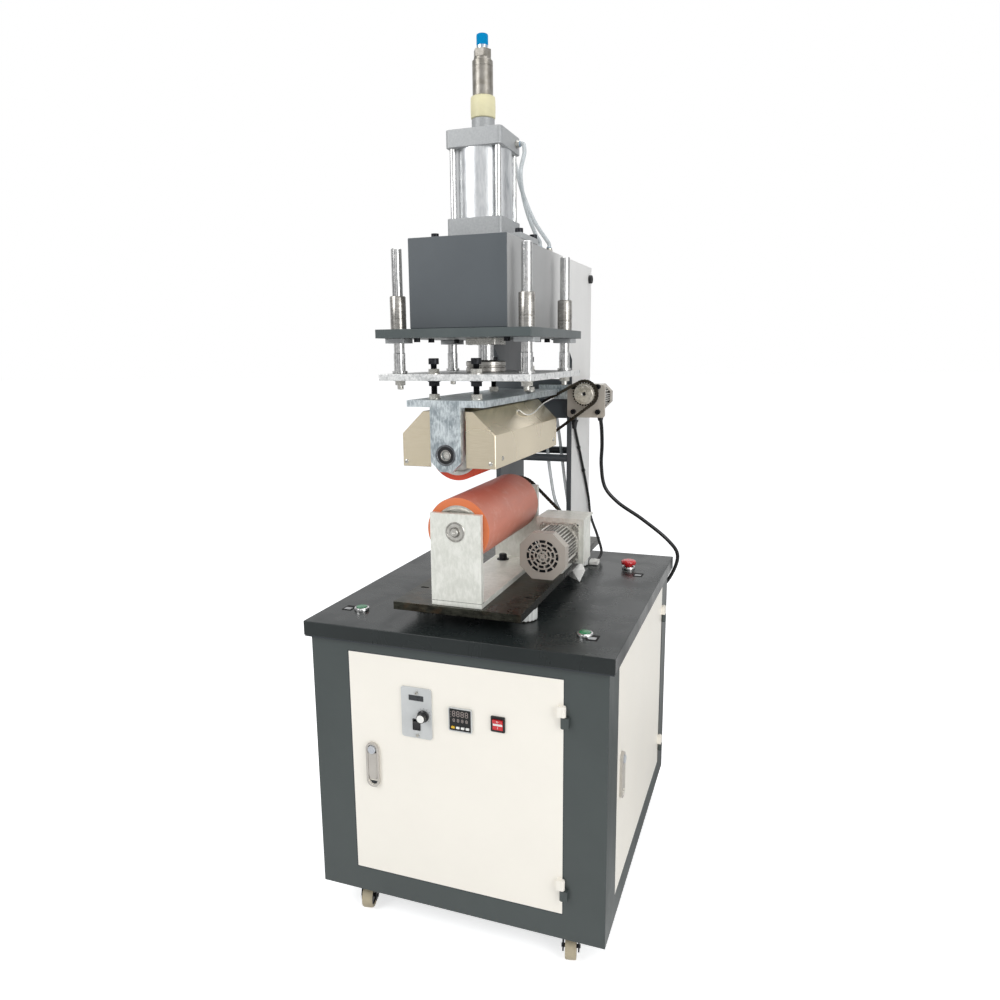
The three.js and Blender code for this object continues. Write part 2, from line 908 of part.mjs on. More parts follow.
function temperatureController() {
  const front = -controllerProud;
  const bezel = octagonSlab(
    controllerX,
    controlsHeight,
    controllerSize,
    controllerSize,
    controllerCorner,
    front,
    -seat,
  );
  const body = slab(
    controllerX,
    controlsHeight,
    controllerBodySize,
    controllerBodySize,
    -seat - overrun,
    controllerBodyDepth,
  );
  const display = slab(
    controllerX,
    controlsHeight + displayRise,
    displayWidth,
    displayHeight,
    front - overrun,
    front + displayRecess,
  );
  const pockets = Array.from({ length: keyCount }, (_, i) =>
    slab(keyX(i), keyZ, keyWidth + 2 * running, keyHeight + 2 * running, front - overrun, front + keyPocket),
  );
  return cut(join(bezel, body), display, ...pockets);
}

function temperatureKeys(side) {
  const front = -controllerProud - keyProud;
  for (let i = 0; i < keyCount; i += 1) {
    const key = slab(0, 0, keyWidth, keyHeight, front, front + keyThick);
    const material = i ? whitePlastic : yellowPlastic;
    piece(side, "temperature_key_" + (i + 1), key, material, [keyX(i), 0, keyZ]);
  }
}

// Speed controller: a plate with a display, a knob and a small rocker
const smallRockerZ = controlsHeight - smallRockerDrop;

function speedController() {
  const front = -speedProud;
  const z = controlsHeight;
  const plate = octagonSlab(speedX, z, speedWidth, speedHeight, speedCorner, front, -seat);
  const body = slab(speedX, z, speedBodyWidth, speedBodyHeight, -seat - overrun, speedBodyDepth);
  const pocket = slab(
    speedX,
    smallRockerZ,
    smallRockerWidth + 2 * running,
    smallRockerHeight + 2 * running,
    front - overrun,
    front + rockerPocket,
  );
  const display = slab(
    speedX,
    z + speedDisplayRise,
    speedDisplayWidth,
    speedDisplayHeight,
    front - overrun,
    front + displayRecess,
  );
  const bore = bar("y", front - overrun, knobShaftDepth, knobShaft + 2 * running, [
    speedX + knobShift,
    z - knobDrop,
  ]);
  return cut(join(plate, body), bore, pocket, display);
}

function speedKnob() {
  const back = -speedProud - seat;
  const front = back - knobHeight;
  return join(
    bar("y", back - knobSkirt, back, knobDiameter),
    bar("y", front + overrun, back, knobDiameter - 2 * knobStep),
    bar("y", front, back, knobCap),
    block([-overrun, front, 0], [overrun, back, knobDiameter / 2 - seat]),
    bar("y", back - overrun, knobShaftDepth - overrun, knobShaft),
  );
}

// A rocker whose mouth is at y = 0, standing on its pivot and pressed in at its top end
function rocker(width, height) {
  const half = height / 2;
  const profile = [
    [-rockerProud, half - overrun],
    [-rockerProud + rockerDip, 0],
    [-rockerProud, overrun - half],
    [rockerRoot, rockerTaper - half],
    [rockerRoot, half - rockerTaper],
  ];
  const tilt = THREE.MathUtils.degToRad(rockerTilt);
  const leaned = profile.map(([y, z]) => [
    rockerAxisDepth + (y - rockerAxisDepth) * Math.cos(tilt) - z * Math.sin(tilt),
    (y - rockerAxisDepth) * Math.sin(tilt) + z * Math.cos(tilt),
  ]);
  return pushedX(leaned, -width / 2, width / 2);
}

// Power switch: a bezel and a body with a pocket for its rocker
const powerZ = controlsHeight + powerRise;

function powerSwitch() {
  const front = -powerProud;
  const pocketWidth = powerWidth - 2 * powerRim;
  const pocketHeight = powerHeight - 2 * powerRim;
  return cut(
    join(
      octagonSlab(powerX, powerZ, powerWidth, powerHeight, powerCorner, front, -seat),
      slab(powerX, powerZ, powerWidth - powerRim, powerHeight - powerRim, -seat - overrun, powerBodyDepth),
    ),
    slab(powerX, powerZ, pocketWidth, pocketHeight, front - overrun, front + rockerPocket),
  );
}

// Holes in the front door, with room round the bodies of the controls
function controlHoles() {
  const room = 2 * running;
  const through = (x, z, width, height) => slab(x, z, width + room, height + room, -overrun, doorDepth);
  return [
    through(controllerX, controlsHeight, controllerBodySize, controllerBodySize),
    through(speedX, controlsHeight, speedBodyWidth, speedBodyHeight),
    through(powerX, powerZ, powerWidth - powerRim, powerHeight - powerRim),
  ];
}

function controls(side) {
  piece(side, "temperature_controller", temperatureController(), blackPlastic);
  temperatureKeys(side);
  piece(side, "speed_controller", speedController(), greyPlastic);
  const knobZ = controlsHeight - knobDrop;
  piece(side, "speed_knob", speedKnob(), blackPlastic, [speedX + knobShift, 0, knobZ]);
  const small = rocker(smallRockerWidth, smallRockerHeight);
  piece(side, "speed_rocker", small, blackPlastic, [speedX, -speedProud, smallRockerZ]);
  piece(side, "power_switch", powerSwitch(), blackPlastic);
  const room = 2 * powerRim + 2 * running;
  const large = rocker(powerWidth - room, powerHeight - room);
  piece(side, "power_rocker", large, redPlastic, [powerX, -powerProud, powerZ]);
}

function cabinet() {
  const body = assembly(machine, [0, 0, casterHeight]);
  piece(body, "cabinet_shell", cabinetShell(), darkPaint);
  piece(body, "door_frame", doorFrame(), darkPaint);
  const front = assembly(body, [0, frontY, 0]);
  door(front, "front", frontOpening, frontLatchInset, controlHoles());
  controls(front);
  door(assembly(body, [rightX, 0, 0], 90), "side", sideOpening, sideLatchInset);
}

// Casters: a fork that swivels under its plate, and a wheel on an axle fused with the fork
function casterFork() {
  const top = casterHeight - casterPlateThick - seat;
  const crown = top - swivelHeight;
  const half = forkWidth / 2;
  const axleZ = wheelDiameter / 2;
  const neck = swivelDiameter / 2 - swivelTaper;
  const swivel = turned("z", [
    [0, crown - overrun],
    [neck, crown - overrun],
    [swivelDiameter / 2, crown + swivelHeight / 2],
    [swivelDiameter / 2, top],
    [0, top],
  ], [0, 0], smallSides);
  const legOutline = [
    [-casterTrail - forkFoot, axleZ - forkFoot],
    [-casterTrail + forkFoot, axleZ - forkFoot],
    [neck, crown],
    [-casterTrail, crown],
    [-casterTrail - forkFoot, axleZ + forkFoot],
  ];
  return join(
    swivel,
    block([-half, -casterTrail, crown - forkSheet], [half, neck, crown]),
    pushedX(legOutline, -half, forkSheet - half),
    pushedX(legOutline, half - forkSheet, half),
    bar("x", -half - axleProud, half + axleProud, axleDiameter, [-casterTrail, axleZ], smallSides),
  );
}

function casterWheel() {
  const bore = axleDiameter / 2 + running;
  const rim = wheelDiameter / 2 - wheelRim;
  const half = wheelWidth / 2;
  return turned("x", [
    [bore, wheelDish - half],
    [rim, wheelDish - half],
    [rim, -half],
    [wheelDiameter / 2, -half],
    [wheelDiameter / 2, half],
    [rim, half],
    [rim, half - wheelDish],
    [bore, half - wheelDish],
    [bore, wheelDish - half],
  ]);
}

function casters() {
  const rows = [["front", -1], ["rear", 1]];
  const columns = [["left", -1], ["right", 1]];
  for (const [row, sideY] of rows) {
    for (const [column, sideX] of columns) {
      const corner = row + "_" + column;
      const swivel = assembly(machine, [sideX * casterX, sideY * casterY, 0], casterTurn);
      piece(swivel, "caster_fork_" + corner, casterFork(), blackSteel);
      const axle = [0, -casterTrail, wheelDiameter / 2];
      piece(swivel, "caster_wheel_" + corner, casterWheel(), beigeRubber, axle);
    }
  }
}

// Table: a sheet with its edges folded down, and three push buttons that stand in its holes
function table() {
  const top = assembly(machine, [0, 0, tableTopZ]);
  const spots = {
    start_button_left: [startInsetX - tableHalfX, startInsetY - tableHalfY],
    start_button_right: [tableHalfX - startInsetX, startInsetY - tableHalfY],
    stop_button: [tableHalfX - stopInsetX, tableHalfY - stopInsetY],
  };
  const holes = Object.values(spots).map((spot) =>
    bar("z", -tableSheet - overrun, overrun, barrelDiameter + 2 * running, spot),
  );
  const outer = block([-tableHalfX, -tableHalfY, -tableLip], [tableHalfX, tableHalfY, 0]);
  const hollow = block(
    [tableSheet - tableHalfX, tableSheet - tableHalfY, -tableLip - overrun],
    [tableHalfX - tableSheet, tableHalfY - tableSheet, -tableSheet],
  );
  piece(top, "table_top", cut(outer, hollow, ...holes), blackSteel);
  for (const [name, [x, y]] of Object.entries(spots)) {
    const stop = name === "stop_button";
    piece(top, name + "_base", buttonBase(), brightSteel, [x, y, seat]);
    piece(top, name, stop ? stopButton() : startButton(), stop ? redPlastic : greenPlastic, [x, y, seat]);
  }
}

function buttonBase() {
  const bezel = turned("z", [
    [0, 0],
    [bezelDiameter / 2, 0],
    [bezelDiameter / 2, bezelHeight / 2],
    [bezelDiameter / 2 - bezelChamfer, bezelHeight],
    [0, bezelHeight],
  ]);
  return cut(
    join(bezel, bar("z", -barrelLength, overrun, barrelDiameter)),
    bar("z", -capSink, bezelHeight + overrun, capDiameter + 2 * running),
    bar("z", barrelFloor - barrelLength, 0, plungerDiameter + 2 * running, [0, 0], smallSides),
  );
}

function startButton() {
  const radius = capDiameter / 2;
  const cap = turned("z", [
    [0, bezelHeight - capSink],
    [radius, bezelHeight - capSink],
    [radius, bezelHeight + capHeight - capChamfer],
    [radius - capChamfer, bezelHeight + capHeight],
    [0, bezelHeight + capHeight],
  ]);
  return join(cap, bar("z", bezelHeight - plungerLength, bezelHeight, plungerDiameter, [0, 0], smallSides));
}

function stopButton() {
  const foot = bezelHeight + mushroomLift;
  const top = foot + mushroomHeight;
  const radius = mushroomDiameter / 2;
  const head = turned("z", [
    [0, foot],
    [radius - mushroomLip, foot],
    [radius, foot + mushroomLip],
    [radius, foot + mushroomEdge],
    [radius - mushroomCrown, top - mushroomDome],
    [0, top],
  ]);
  return join(
    head,
    bar("z", bezelHeight - overrun, foot + overrun, mushroomNeck),
    bar("z", bezelHeight - plungerLength, foot, plungerDiameter, [0, 0], smallSides),
  );
}

// Machine base: a plate with oval slots, standing on four round feet; its top is at z = 0
function basePlate() {
  const half = baseWidth / 2;
  const underside = -basePlateThick;
  const plate = block([-half, baseFrontY, underside], [half, baseFrontY + baseDepth, 0]);
  const feet = SIDES.flatMap((sideX) =>
    SIDES.map((sideY) => {
      const spot = [sideX * footX, sideY * footY];
      return bar("z", underside - footHeight, underside + overrun, footDiameter, spot, largeSides);
    }),
  );
  return cut(join(plate, ...feet), ovalSlot(-slotX), ovalSlot(slotX));
}

function ovalSlot(x) {
  const straight = (slotLength - slotWidth) / 2;
  const end = (at) => bar("z", -slotDepth, overrun, slotWidth, [at, -footY], smallSides);
  return join(
    pad(x, -footY, 2 * straight, slotWidth, -slotDepth, overrun),
    end(x - straight),
    end(x + straight),
  );
}

// Column and arms: two side plates with a C outline
const columnProfile = [
  [columnRearY, seat],
  [columnRearY, headTop],
  [armFrontY, headTop],
  [armFrontY, armUnder],
  [columnFrontY - gussetReach, armUnder],
  [columnFrontY - gussetReach, armUnder - gussetDrop],
  [columnFrontY - gussetReach + gussetLength, armUnder - gussetDrop],
  [columnFrontY, armUnder - gussetDrop - gussetFall],
  [columnFrontY, seat],
];

// A tube fitting that stands on a face
const fitting = (axis, face, spot) =>
  bar(axis, face - overrun, face + fittingLength, fittingDiameter, spot, smallSides);

// Left plate, with the cross plate, its two tube fittings and the tie bar
function leftColumn() {
  const from = -columnInner - overrun;
  const to = columnInner - seat;
  const crossBack = columnFrontY + crossPlateThick;
  const fittings = postFittingX.map((x) => fitting("y", crossBack, [x, postFittingRise]));
  return join(
    pushedX(columnProfile, -columnWidth / 2, -columnInner),
    block(
      [from, columnFrontY, crossPlateRise],
      [to, crossBack, crossPlateRise + crossPlateHeight],
    ),
    bar("x", from, to, tieBarDiameter, [columnFrontY + tieBarDiameter / 2, tieBarRise]),
    ...fittings,
  );
}

// Right plate, with the block that the post cable comes out of
function rightColumn() {
  const [, y, z] = postCablePoints[0];
  const foot = z + cabinetTopZ - baseTopZ + seat;
  const outer = columnWidth / 2;
  const half = cableEntryWidth / 2;
  return join(
    pushedX(columnProfile, columnInner, outer),
    block(
      [outer - overrun, y - half, foot],
      [outer + cableEntryWidth, y + half, foot + cableEntryHeight],
    ),
  );
}

// Head cover: front, top and rear sheets between the side plates, with a tube fitting on top
function headCover() {
  const half = columnWidth / 2;
  const span = columnInner - seat;
  const front = armFrontY - seat;
  const sheets = join(
    block([-half, front - coverSheet, armUnder + coverLift], [half, front, headTop]),
    block([-span, front - overrun, headTop - topPlateThick], [span, columnRearY, headTop]),
    block([-span, columnRearY - coverSheet, armUnder], [span, columnRearY, headTop - topPlateThick / 2]),
  );
  return cut(
    join(sheets, fitting("z", headTop, [headFittingX, headFittingY])),
    bar("z", headTop - topPlateThick - overrun, headTop + overrun, rodHole, [0, pressY]),
  );
}

// Cylinder, seen from its axis and the head's top
const endCap = (z0, z1) =>
  pushedZ(octagonPoints([0, 0], endCapSize / 2, endCapSize / 2, endCapCorner), z0, z1);

// A bore round the piston rod
const rodBore = (z0, z1, diameter) =>
  bar("z", z0 - overrun, z1 + overrun, diameter + 2 * running);

// Flange plate, lower cap and tube
function cylinderBarrel() {
  const flange = block(
    [-flangeWidth / 2, -flangeAhead, seat],
    [flangeWidth / 2, flangeDepth - flangeAhead, lowerCapFoot + overrun],
  );
  const tube = bar("z", tubeFoot - overrun, upperCapFoot - seat, tubeDiameter, [0, 0], largeSides);
  const bore = bar("z", tubeFoot, upperCapFoot + overrun, tubeBore, [0, 0], largeSides);
  return cut(join(flange, endCap(lowerCapFoot, tubeFoot), tube), bore, rodBore(seat, tubeFoot, rodDiameter));
}

// Upper cap with its tie rods, boss and tube fitting
function cylinderHead() {
  const top = upperCapFoot + upperCapHeight;
  const reach = endCapSize / 2 - tieRodInset;
  const rods = SIDES.flatMap((sideX) =>
    SIDES.map((sideY) =>
      bar("z", tubeFoot + seat, top, tieRodDiameter, [sideX * reach, sideY * reach], smallSides),
    ),
  );
  return cut(
    join(
      endCap(upperCapFoot, top),
      bar("z", top - overrun, bossTop, bossDiameter, [0, 0], largeSides),
      fitting("x", endCapSize / 2, [cylinderFittingY, top - cylinderFittingDrop]),
      ...rods,
    ),
    rodBore(upperCapFoot, bossTop, topRodDiameter),
  );
}

// Mounting plate under the arms, with the guides' bushings and the rod's gland; its underside is at z = 0
const guideSpots = SIDES.flatMap((sideX) => SIDES.map((sideY) => [sideX * guideSpan, sideY * guideSpan]));

function mountingPlate() {
  const half = mountWidth / 2;
  const top = mountThick + bushingRise;
  const plate = block([-half, -mountAhead, 0], [half, mountDepth - mountAhead, mountThick]);
  const bushings = guideSpots.flatMap(([x, y]) => [
    bar("z", mountThick - overrun, top, bushingDiameter, [x, y]),
    pad(x, y, bushingFlange, bushingFlange, -bushingFlangeThick, overrun),
  ]);
  const bores = guideSpots.flatMap((spot) => [
    bar("z", -overrun, top + overrun, guideDiameter + 2 * running, spot, smallSides),
    bar("z", -bushingFlangeThick - overrun, guideRelief, guideSleeve + 2 * running, spot, smallSides),
  ]);
  return cut(
    join(plate, ...bushings, pad(0, 0, glandSize, glandSize, -glandThick, overrun)),
    ...bores,
    rodBore(-glandThick, mountThick, rodDiameter),
  );
}

// Carriage, seen from the cylinder's axis and the drive plate's top
const adjusterSpots = SIDES.flatMap((side) => [
  [side * adjusterX, -adjusterAhead],
  [side * adjusterX, adjusterBehind],
]);

// Drive plate with the guide rods and the adjusting bolts that hold the carrier plate
function drivePlate() {
  const half = driveWidth / 2;
  const plate = block([-half, -driveAhead, -driveThick], [half, driveDepth - driveAhead, 0]);
  const guides = guideSpots.flatMap((spot) => [
    bar("z", -overrun, guideRise, guideDiameter, spot, smallSides),
    bar("z", -overrun, guideSleeveRise, guideSleeve, spot, smallSides),
    hexBar("z", -driveThick - studNutHeight, overrun - driveThick, studNutFlats, spot),
    bar("z", -driveThick - studLength, -driveThick, studDiameter, spot, smallSides),
  ]);
  const carrierZ = -driveThick - adjusterGap;
  const tail = carrierZ - carrierThick - adjusterTail;
  const adjusters = adjusterSpots.flatMap((spot) => {
    const nut = (z0, z1) => hexBar("z", z0, z1, adjusterNutFlats, spot);
    return [
      bar("z", tail, adjusterRise, adjusterDiameter, spot, smallSides),
      hexBar("z", adjusterRise - adjusterHeadHeight, adjusterRise, adjusterHeadFlats, spot),
      nut(-overrun, adjusterNutHeight),
      nut(-driveThick - adjusterNutHeight, overrun - driveThick),
      nut(carrierZ + seat, carrierZ + seat + adjusterNutHeight),
    ];
  });
  return join(plate, ...guides, ...adjusters);
}

// Piston rod with its piston, flange nut, stop sleeve, nut and end cap
const headRise = headTop - driveTop;
const bumperZ = headRise + bossTop + seat;

function pistonRod() {
  const nutTop = seat + flangeNutHeight;
  const pistonZ = headRise + tubeFoot + pistonRest;
  const sleeveZ = bumperZ + bumperHeight + seat;
  const sleeveTop = sleeveZ + stopSleeveHeight;
  const capZ = sleeveTop + topNutGap + topNutHeight;
  const pistonTop = pistonZ + pistonHeight;
  const capTop = capZ + rodCapHeight;
  const rod = turned("z", [
    [0, nutTop - overrun],
    [rodDiameter / 2, nutTop - overrun],
    [rodDiameter / 2, pistonZ + overrun],
    [topRodDiameter / 2, pistonZ + overrun],
    [topRodDiameter / 2, sleeveZ],
    [stopSleeveDiameter / 2, sleeveZ],
    [stopSleeveDiameter / 2, sleeveTop],
    [topRodDiameter / 2, sleeveTop],
    [topRodDiameter / 2, capZ],
    [rodCapDiameter / 2, capZ],
    [rodCapDiameter / 2, capTop - rodCapChamfer],
    [rodCapDiameter / 2 - rodCapChamfer, capTop],
    [0, capTop],
  ]);
  return join(
    rod,
    bar("z", seat, nutTop, flangeNutDiameter, [0, 0], largeSides),
    bar("z", pistonZ, pistonTop, tubeBore - 2 * running, [0, 0], largeSides),
    hexBar("z", sleeveTop + topNutGap, capZ, topNutFlats),
  );
}

function stopBumper() {
  return cut(
    bar("z", 0, bumperHeight, bumperDiameter, [0, 0], largeSides),
    rodBore(0, bumperHeight, topRodDiameter),
  );
}

// Carrier plate with its two hangers, seen from the rollers' line and the plate's underside
function frontHanger(fromY, toY) {
  const half = hangerWidth / 2;
  const bottom = -upperAxisDrop - hangerTail;
  return pushedY([
    [-half, overrun],
    [-half, bottom + hangerChamfer],
    [hangerChamfer - half, bottom],
    [half - hangerChamfer, bottom],
    [half, bottom + hangerChamfer],
    [half, overrun],
  ], fromY, toY);
}

function roundHanger(fromY, toY) {
  const half = hangerWidth / 2;
  const round = arcPoints([0, -upperAxisDrop], half, 0, -Math.PI, smallSides);
  return pushedY([[half, overrun], ...round, [-half, overrun]], fromY, toY);
}

function carrierPlate() {
  const half = carrierWidth / 2;
  const axis = [0, -upperAxisDrop];
  const frontBack = carrierFrontY + hangerThick;
  const rearBack = rearHangerY + hangerThick;
  const plate = block([-half, carrierFrontY, 0], [half, carrierFrontY + carrierDepth, carrierThick]);
  const body = join(
    plate,
    frontHanger(carrierFrontY, frontBack),
    roundHanger(frontBack - overrun, frontBack + hangerBackThick),
    frontHanger(rearHangerY, rearBack),
  );
  const bore = bar("y", carrierFrontY - overrun, rearBack + overrun, shaftDiameter + 2 * running, axis);
  const recess = cut(
    bar("y", carrierFrontY - overrun, carrierFrontY + bearingRecess, bearingDiameter, axis),
    bar("y", carrierFrontY - 2 * overrun, carrierFrontY + 2 * bearingRecess, bearingInner, axis),
  );
  const notch = block(
    [half - notchReach, upperChainY - notchWidth / 2, -overrun],
    [half + overrun, upperChainY + notchWidth / 2, carrierThick + overrun],
  );
  const holes = adjusterSpots.map(([x, y]) => {
    const spot = [x - rollerX, y + pressY];
    return bar("z", -overrun, carrierThick + overrun, adjusterDiameter + 2 * running, spot, smallSides);
  });
  return cut(body, bore, recess, notch, ...holes);
}

// Hood: a bent sheet over the upper roller, with a front plate and two pads under the carrier plate
function hood() {
  const top = -hoodTopDrop;
  const slopeZ = top - hoodSlope;
  const bottom = slopeZ - hoodSide;
  const outline = (inset, reach) => [
    [inset - hoodHalfWidth, bottom - reach],
    [hoodHalfWidth - inset, bottom - reach],
    [hoodHalfWidth - inset, slopeZ],
    [hoodTopHalf, top - inset],
    [-hoodTopHalf, top - inset],
    [inset - hoodHalfWidth, slopeZ],
  ];
  const backY = hoodFrontY + hoodLength;
  const shell = cut(
    pushedY(outline(0, 0), hoodFrontY, backY),
    pushedY(outline(hoodSheet, overrun), hoodFrontY + hoodSheet, backY + overrun),
  );
  const half = hoodSlotWidth / 2;
  const frontSlot = block(
    [-half, hoodFrontY - overrun, bottom - overrun],
    [half, carrierFrontY + hangerThick + hangerBackThick + hoodRoom, top + overrun],
  );
  const rearSlot = block(
    [-half, rearHangerY - hoodRoom, top - hoodSheet - overrun],
    [half, rearHangerY + hangerThick + hoodRoom, top + overrun],
  );
  const pads = [hoodPadFrontY, hoodPadRearY].map((y) =>
    pad(0, y + hoodPad / 2, hoodPad, hoodPad, top - hoodSheet / 2, -seat),
  );
  return cut(join(shell, ...pads), frontSlot, rearSlot);
}

// Chain drives: a toothed disc, a loop round two discs, and a chain of two bands joined by pins
const pitchRadius = (teeth) => chainPitch / 2 / Math.sin(Math.PI / teeth);

function sprocket(teeth, y) {
  const corners = [
    [-rootShare, -toothFall],
    [rootShare, -toothFall],
    [0.5, toothRise],
  ];
  const points = Array.from({ length: teeth }, (_, i) =>
    corners.map(([share, reach]) =>
      onCircle([0, 0], pitchRadius(teeth) + reach, (2 * Math.PI * (i + share)) / teeth),
    ),
  );
  return pushedY(points.flat(), y - toothThick / 2, y + toothThick / 2);
}

// Outline round a circle at the origin and a second circle
function loopPoints(r0, [x, z], r1, steps) {
  const heading = Math.atan2(z, x);
  const lean = Math.acos((r0 - r1) / Math.hypot(x, z));
  return [
    ...arcPoints([0, 0], r0, heading + lean, heading - lean + 2 * Math.PI, steps),
    ...arcPoints([x, z], r1, heading - lean, heading + lean, steps),
  ];
}

// The chain runs outside the teeth, in the plane y = 0, from the first disc's axis to the second's
function chain(teeth, other) {
  const r0 = pitchRadius(teeth) + chainLift;
  const r1 = pitchRadius(motorTeeth) + chainLift;
  const half = linkHeight / 2;
  const outer = loopPoints(r0 + half, other, r1 + half, chainArcSteps);
  const inner = loopPoints(r0 - half, other, r1 - half, chainArcSteps);
  const near = chainInner / 2;
  const far = near + linkPlate;
  const path = new THREE.Path(vectors(loopPoints(r0, other, r1, 2 * chainArcSteps)));
  path.closePath();
  const count = Math.round(path.getLength() / (pinLinkCount * chainPitch));
  const reach = near + linkPlate / 2;
  const pins = path
    .getSpacedPoints(count)
    .slice(1)
    .map(({ x, y }) => bar("y", -reach, reach, chainPinDiameter, [x, y], chainPinSides));
  return join(pushedY(outer, -far, -near, [inner]), pushedY(outer, near, far, [inner]), ...pins);
}

// A roller: a rubber sleeve on a core whose shaft carries a toothed disc at the back
function roller(parent, name, diameter, rubber, shaftFrontY, rearFaceY, teeth, chainY) {
  const radius = diameter / 2 - rubber;
  const wall = radius - coreWall;
  const sleeve = cut(
    bar("y", rollerFrontY, rollerRearY, diameter, [0, 0], largeSides),
    bar("y", rollerFrontY - overrun, rollerRearY + overrun, 2 * (radius + seat), [0, 0], largeSides),
  );
  const core = turned("y", [
    [0, rollerFrontY + coreRecess],
    [wall, rollerFrontY + coreRecess],
    [wall, rollerFrontY],
    [radius, rollerFrontY],
    [radius, rollerRearY],
    [wall, rollerRearY],
    [wall, rollerRearY - coreRecess],
    [0, rollerRearY - coreRecess],
  ], [0, 0], largeSides);
  const shaft = join(
    core,
    bar("y", shaftFrontY, chainY + shaftTail, shaftDiameter),
    bar("y", rearFaceY, chainY + toothThick, hubDiameter),
    sprocket(teeth, chainY),
  );
  piece(parent, name + "_sleeve", sleeve, redRubber);
  piece(parent, name + "_shaft", shaft, zincSteel);
}

// A motor's toothed disc, in the plane y = 0, with a shaft that ends at shaftEnd
function motorSprocket(shaftEnd) {
  return join(
    sprocket(motorTeeth, 0),
    bar("y", -motorHubLength / 2, motorHubLength / 2, motorHubDiameter),
    bar("y", Math.min(shaftEnd, 0), Math.max(shaftEnd, 0), motorShaftDiameter, [0, 0], smallSides),
  );
}

const motorBore = (fromY, toY) => bar("y", fromY, toY, motorShaftDiameter + 2 * running);

// Upper gear motor: a plate bolted behind the carrier plate, a gearbox, an eight-sided motor and a gland
function upperGearMotor() {
  const front = upperPlateBehind;
  const back = front + upperPlateThick;
  const top = carrierTop + upperPlateOver - upperMotorAxis;
  const half = upperPlateWidth / 2;
  const z = -upperShaftOffset;
  const underside = z - upperMotorAcross / 2;
  const [cableX, cableY] = motorCablePoints[0];
  const glandSpot = [cableX - upperMotorX, cableY - upperChainY];
  const body = join(
    block([-half, front, top - upperPlateHeight], [half, back, top]),
    block([-half - upperArmLength, front, top - upperArmHeight], [0, back, top]),
    slab(0, z, upperGearboxSize, upperGearboxSize, front + upperPlateThick / 2, back + upperGearboxDepth),
    octagonSlab(
      0,
      z,
      upperMotorAcross,
      upperMotorAcross,
      upperMotorAcross * octagonShare,
      back,
      back + upperGearboxDepth + upperMotorLength,
    ),
    bar("z", underside - fittingLength, underside + overrun, motorCableGland, glandSpot, smallSides),
  );
  return cut(body, motorBore(front - overrun, front + motorShaftDepth));
}

// Lower gear motor: a finned motor with a fan cover in front of a bracket that stands on the base plate
const lowerBracketBack = lowerBracketDepth - lowerBracketAhead;
const lowerGearboxBack = lowerBracketBack - lowerGearboxShort;

function lowerGearMotor() {
  const half = lowerBracketWidth / 2;
  const front = -lowerBracketAhead;
  const frontBack = front + lowerBracketThick;
  const z = lowerShaftOffset;
  const top = z + lowerBracketTop;
  const bottom = seat - lowerMotorAxis;
  const edge = rollerX + baseWidth / 2 - overrun - lowerMotorX;
  const coverBack = fanCoverDepth - lowerMotorAhead;
  const bracket = join(
    block([-half, front, bottom], [edge, frontBack, top]),
    block([-half, front, z - lowerBracketDown], [half, frontBack, top]),
    block([-half, front, bottom], [edge, lowerBracketBack, bottom + lowerBracketThick]),
    block([-half, front, top - lowerBracketRoof], [half, lowerBracketBack, top]),
  );
  const motor = join(
    slab(0, z, lowerGearboxSize, lowerGearboxSize, front, lowerGearboxBack),
    octagonSlab(
      0,
      z,
      fanCoverAcross,
      fanCoverAcross,
      fanCoverAcross * octagonShare,
      -lowerMotorAhead,
      coverBack,
    ),
    pushedY(finPoints([0, z]), coverBack - overrun, front + overrun),
  );
  const bore = motorBore(lowerGearboxBack - motorShaftDepth, lowerBracketBack + overrun);
  return cut(join(bracket, motor), bore, ...fanSlots([0, z]));
}

// Two rings of slots in the fan cover's face
function fanSlots(middle) {
  const step = (2 * Math.PI) / fanSlotCount;
  const rings = [fanSlotInner, fanSlotOuter - fanSlotWidth];
  return rings.flatMap((radius) =>
    Array.from({ length: fanSlotCount }, (_, i) => {
      const from = (i - fanSlotShare) * step;
      const to = (i + fanSlotShare) * step;
      const corners = [
        onCircle(middle, radius, from),
        onCircle(middle, radius + fanSlotWidth, from),
        onCircle(middle, radius + fanSlotWidth, to),
        onCircle(middle, radius, to),
      ];
      return pushedY(corners, -lowerMotorAhead - overrun, fanSlotDepth - lowerMotorAhead);
    }),
  );
}

function finPoints(middle) {
  const step = (2 * Math.PI) / finCount;
  return Array.from({ length: finCount }, (_, i) => [
    onCircle(middle, finDiameter / 2, i * step),
    onCircle(middle, finDiameter / 2, (i + finShare) * step),
    onCircle(middle, finRoot / 2, (i + finShare) * step),
    onCircle(middle, finRoot / 2, (i + 1) * step),
  ]).flat();
}

// Lower bracket: a strip on the base plate and two uprights that carry the roller's shaft
function lowerBracket() {
  const half = uprightWidth / 2;
  const backY = uprightRearY + uprightThick;
  const upright = (y) => block([-half, y, seat], [half, y + uprightThick, uprightHeight]);
  const axis = [0, lowerAxis];
  const bore = bar("y", uprightFrontY - overrun, backY + overrun, shaftDiameter + 2 * running, axis);
  return cut(
    join(
      block([-half, uprightFrontY, seat], [half, backY, seat + stripThick]),
      upright(uprightFrontY),
      upright(uprightRearY),
    ),
    bore,
  );
}

// The frame that stands on the table, and the cylinder on its head
function frameAndCylinder(stand) {
  piece(stand, "base_plate", basePlate(), blackSteel, [rollerX, 0, 0]);
  piece(stand, "column_left", leftColumn(), palePaint);
  piece(stand, "column_right", rightColumn(), palePaint);
  piece(stand, "head_cover", headCover(), darkPaint);
  const cylinder = assembly(stand, [0, pressY, headTop]);
  piece(cylinder, "cylinder_barrel", cylinderBarrel(), cylinderAlloy);
  piece(cylinder, "cylinder_head", cylinderHead(), cylinderAlloy);
  piece(stand, "mounting_plate", mountingPlate(), zincSteel, [0, pressY, mountBottom]);
}

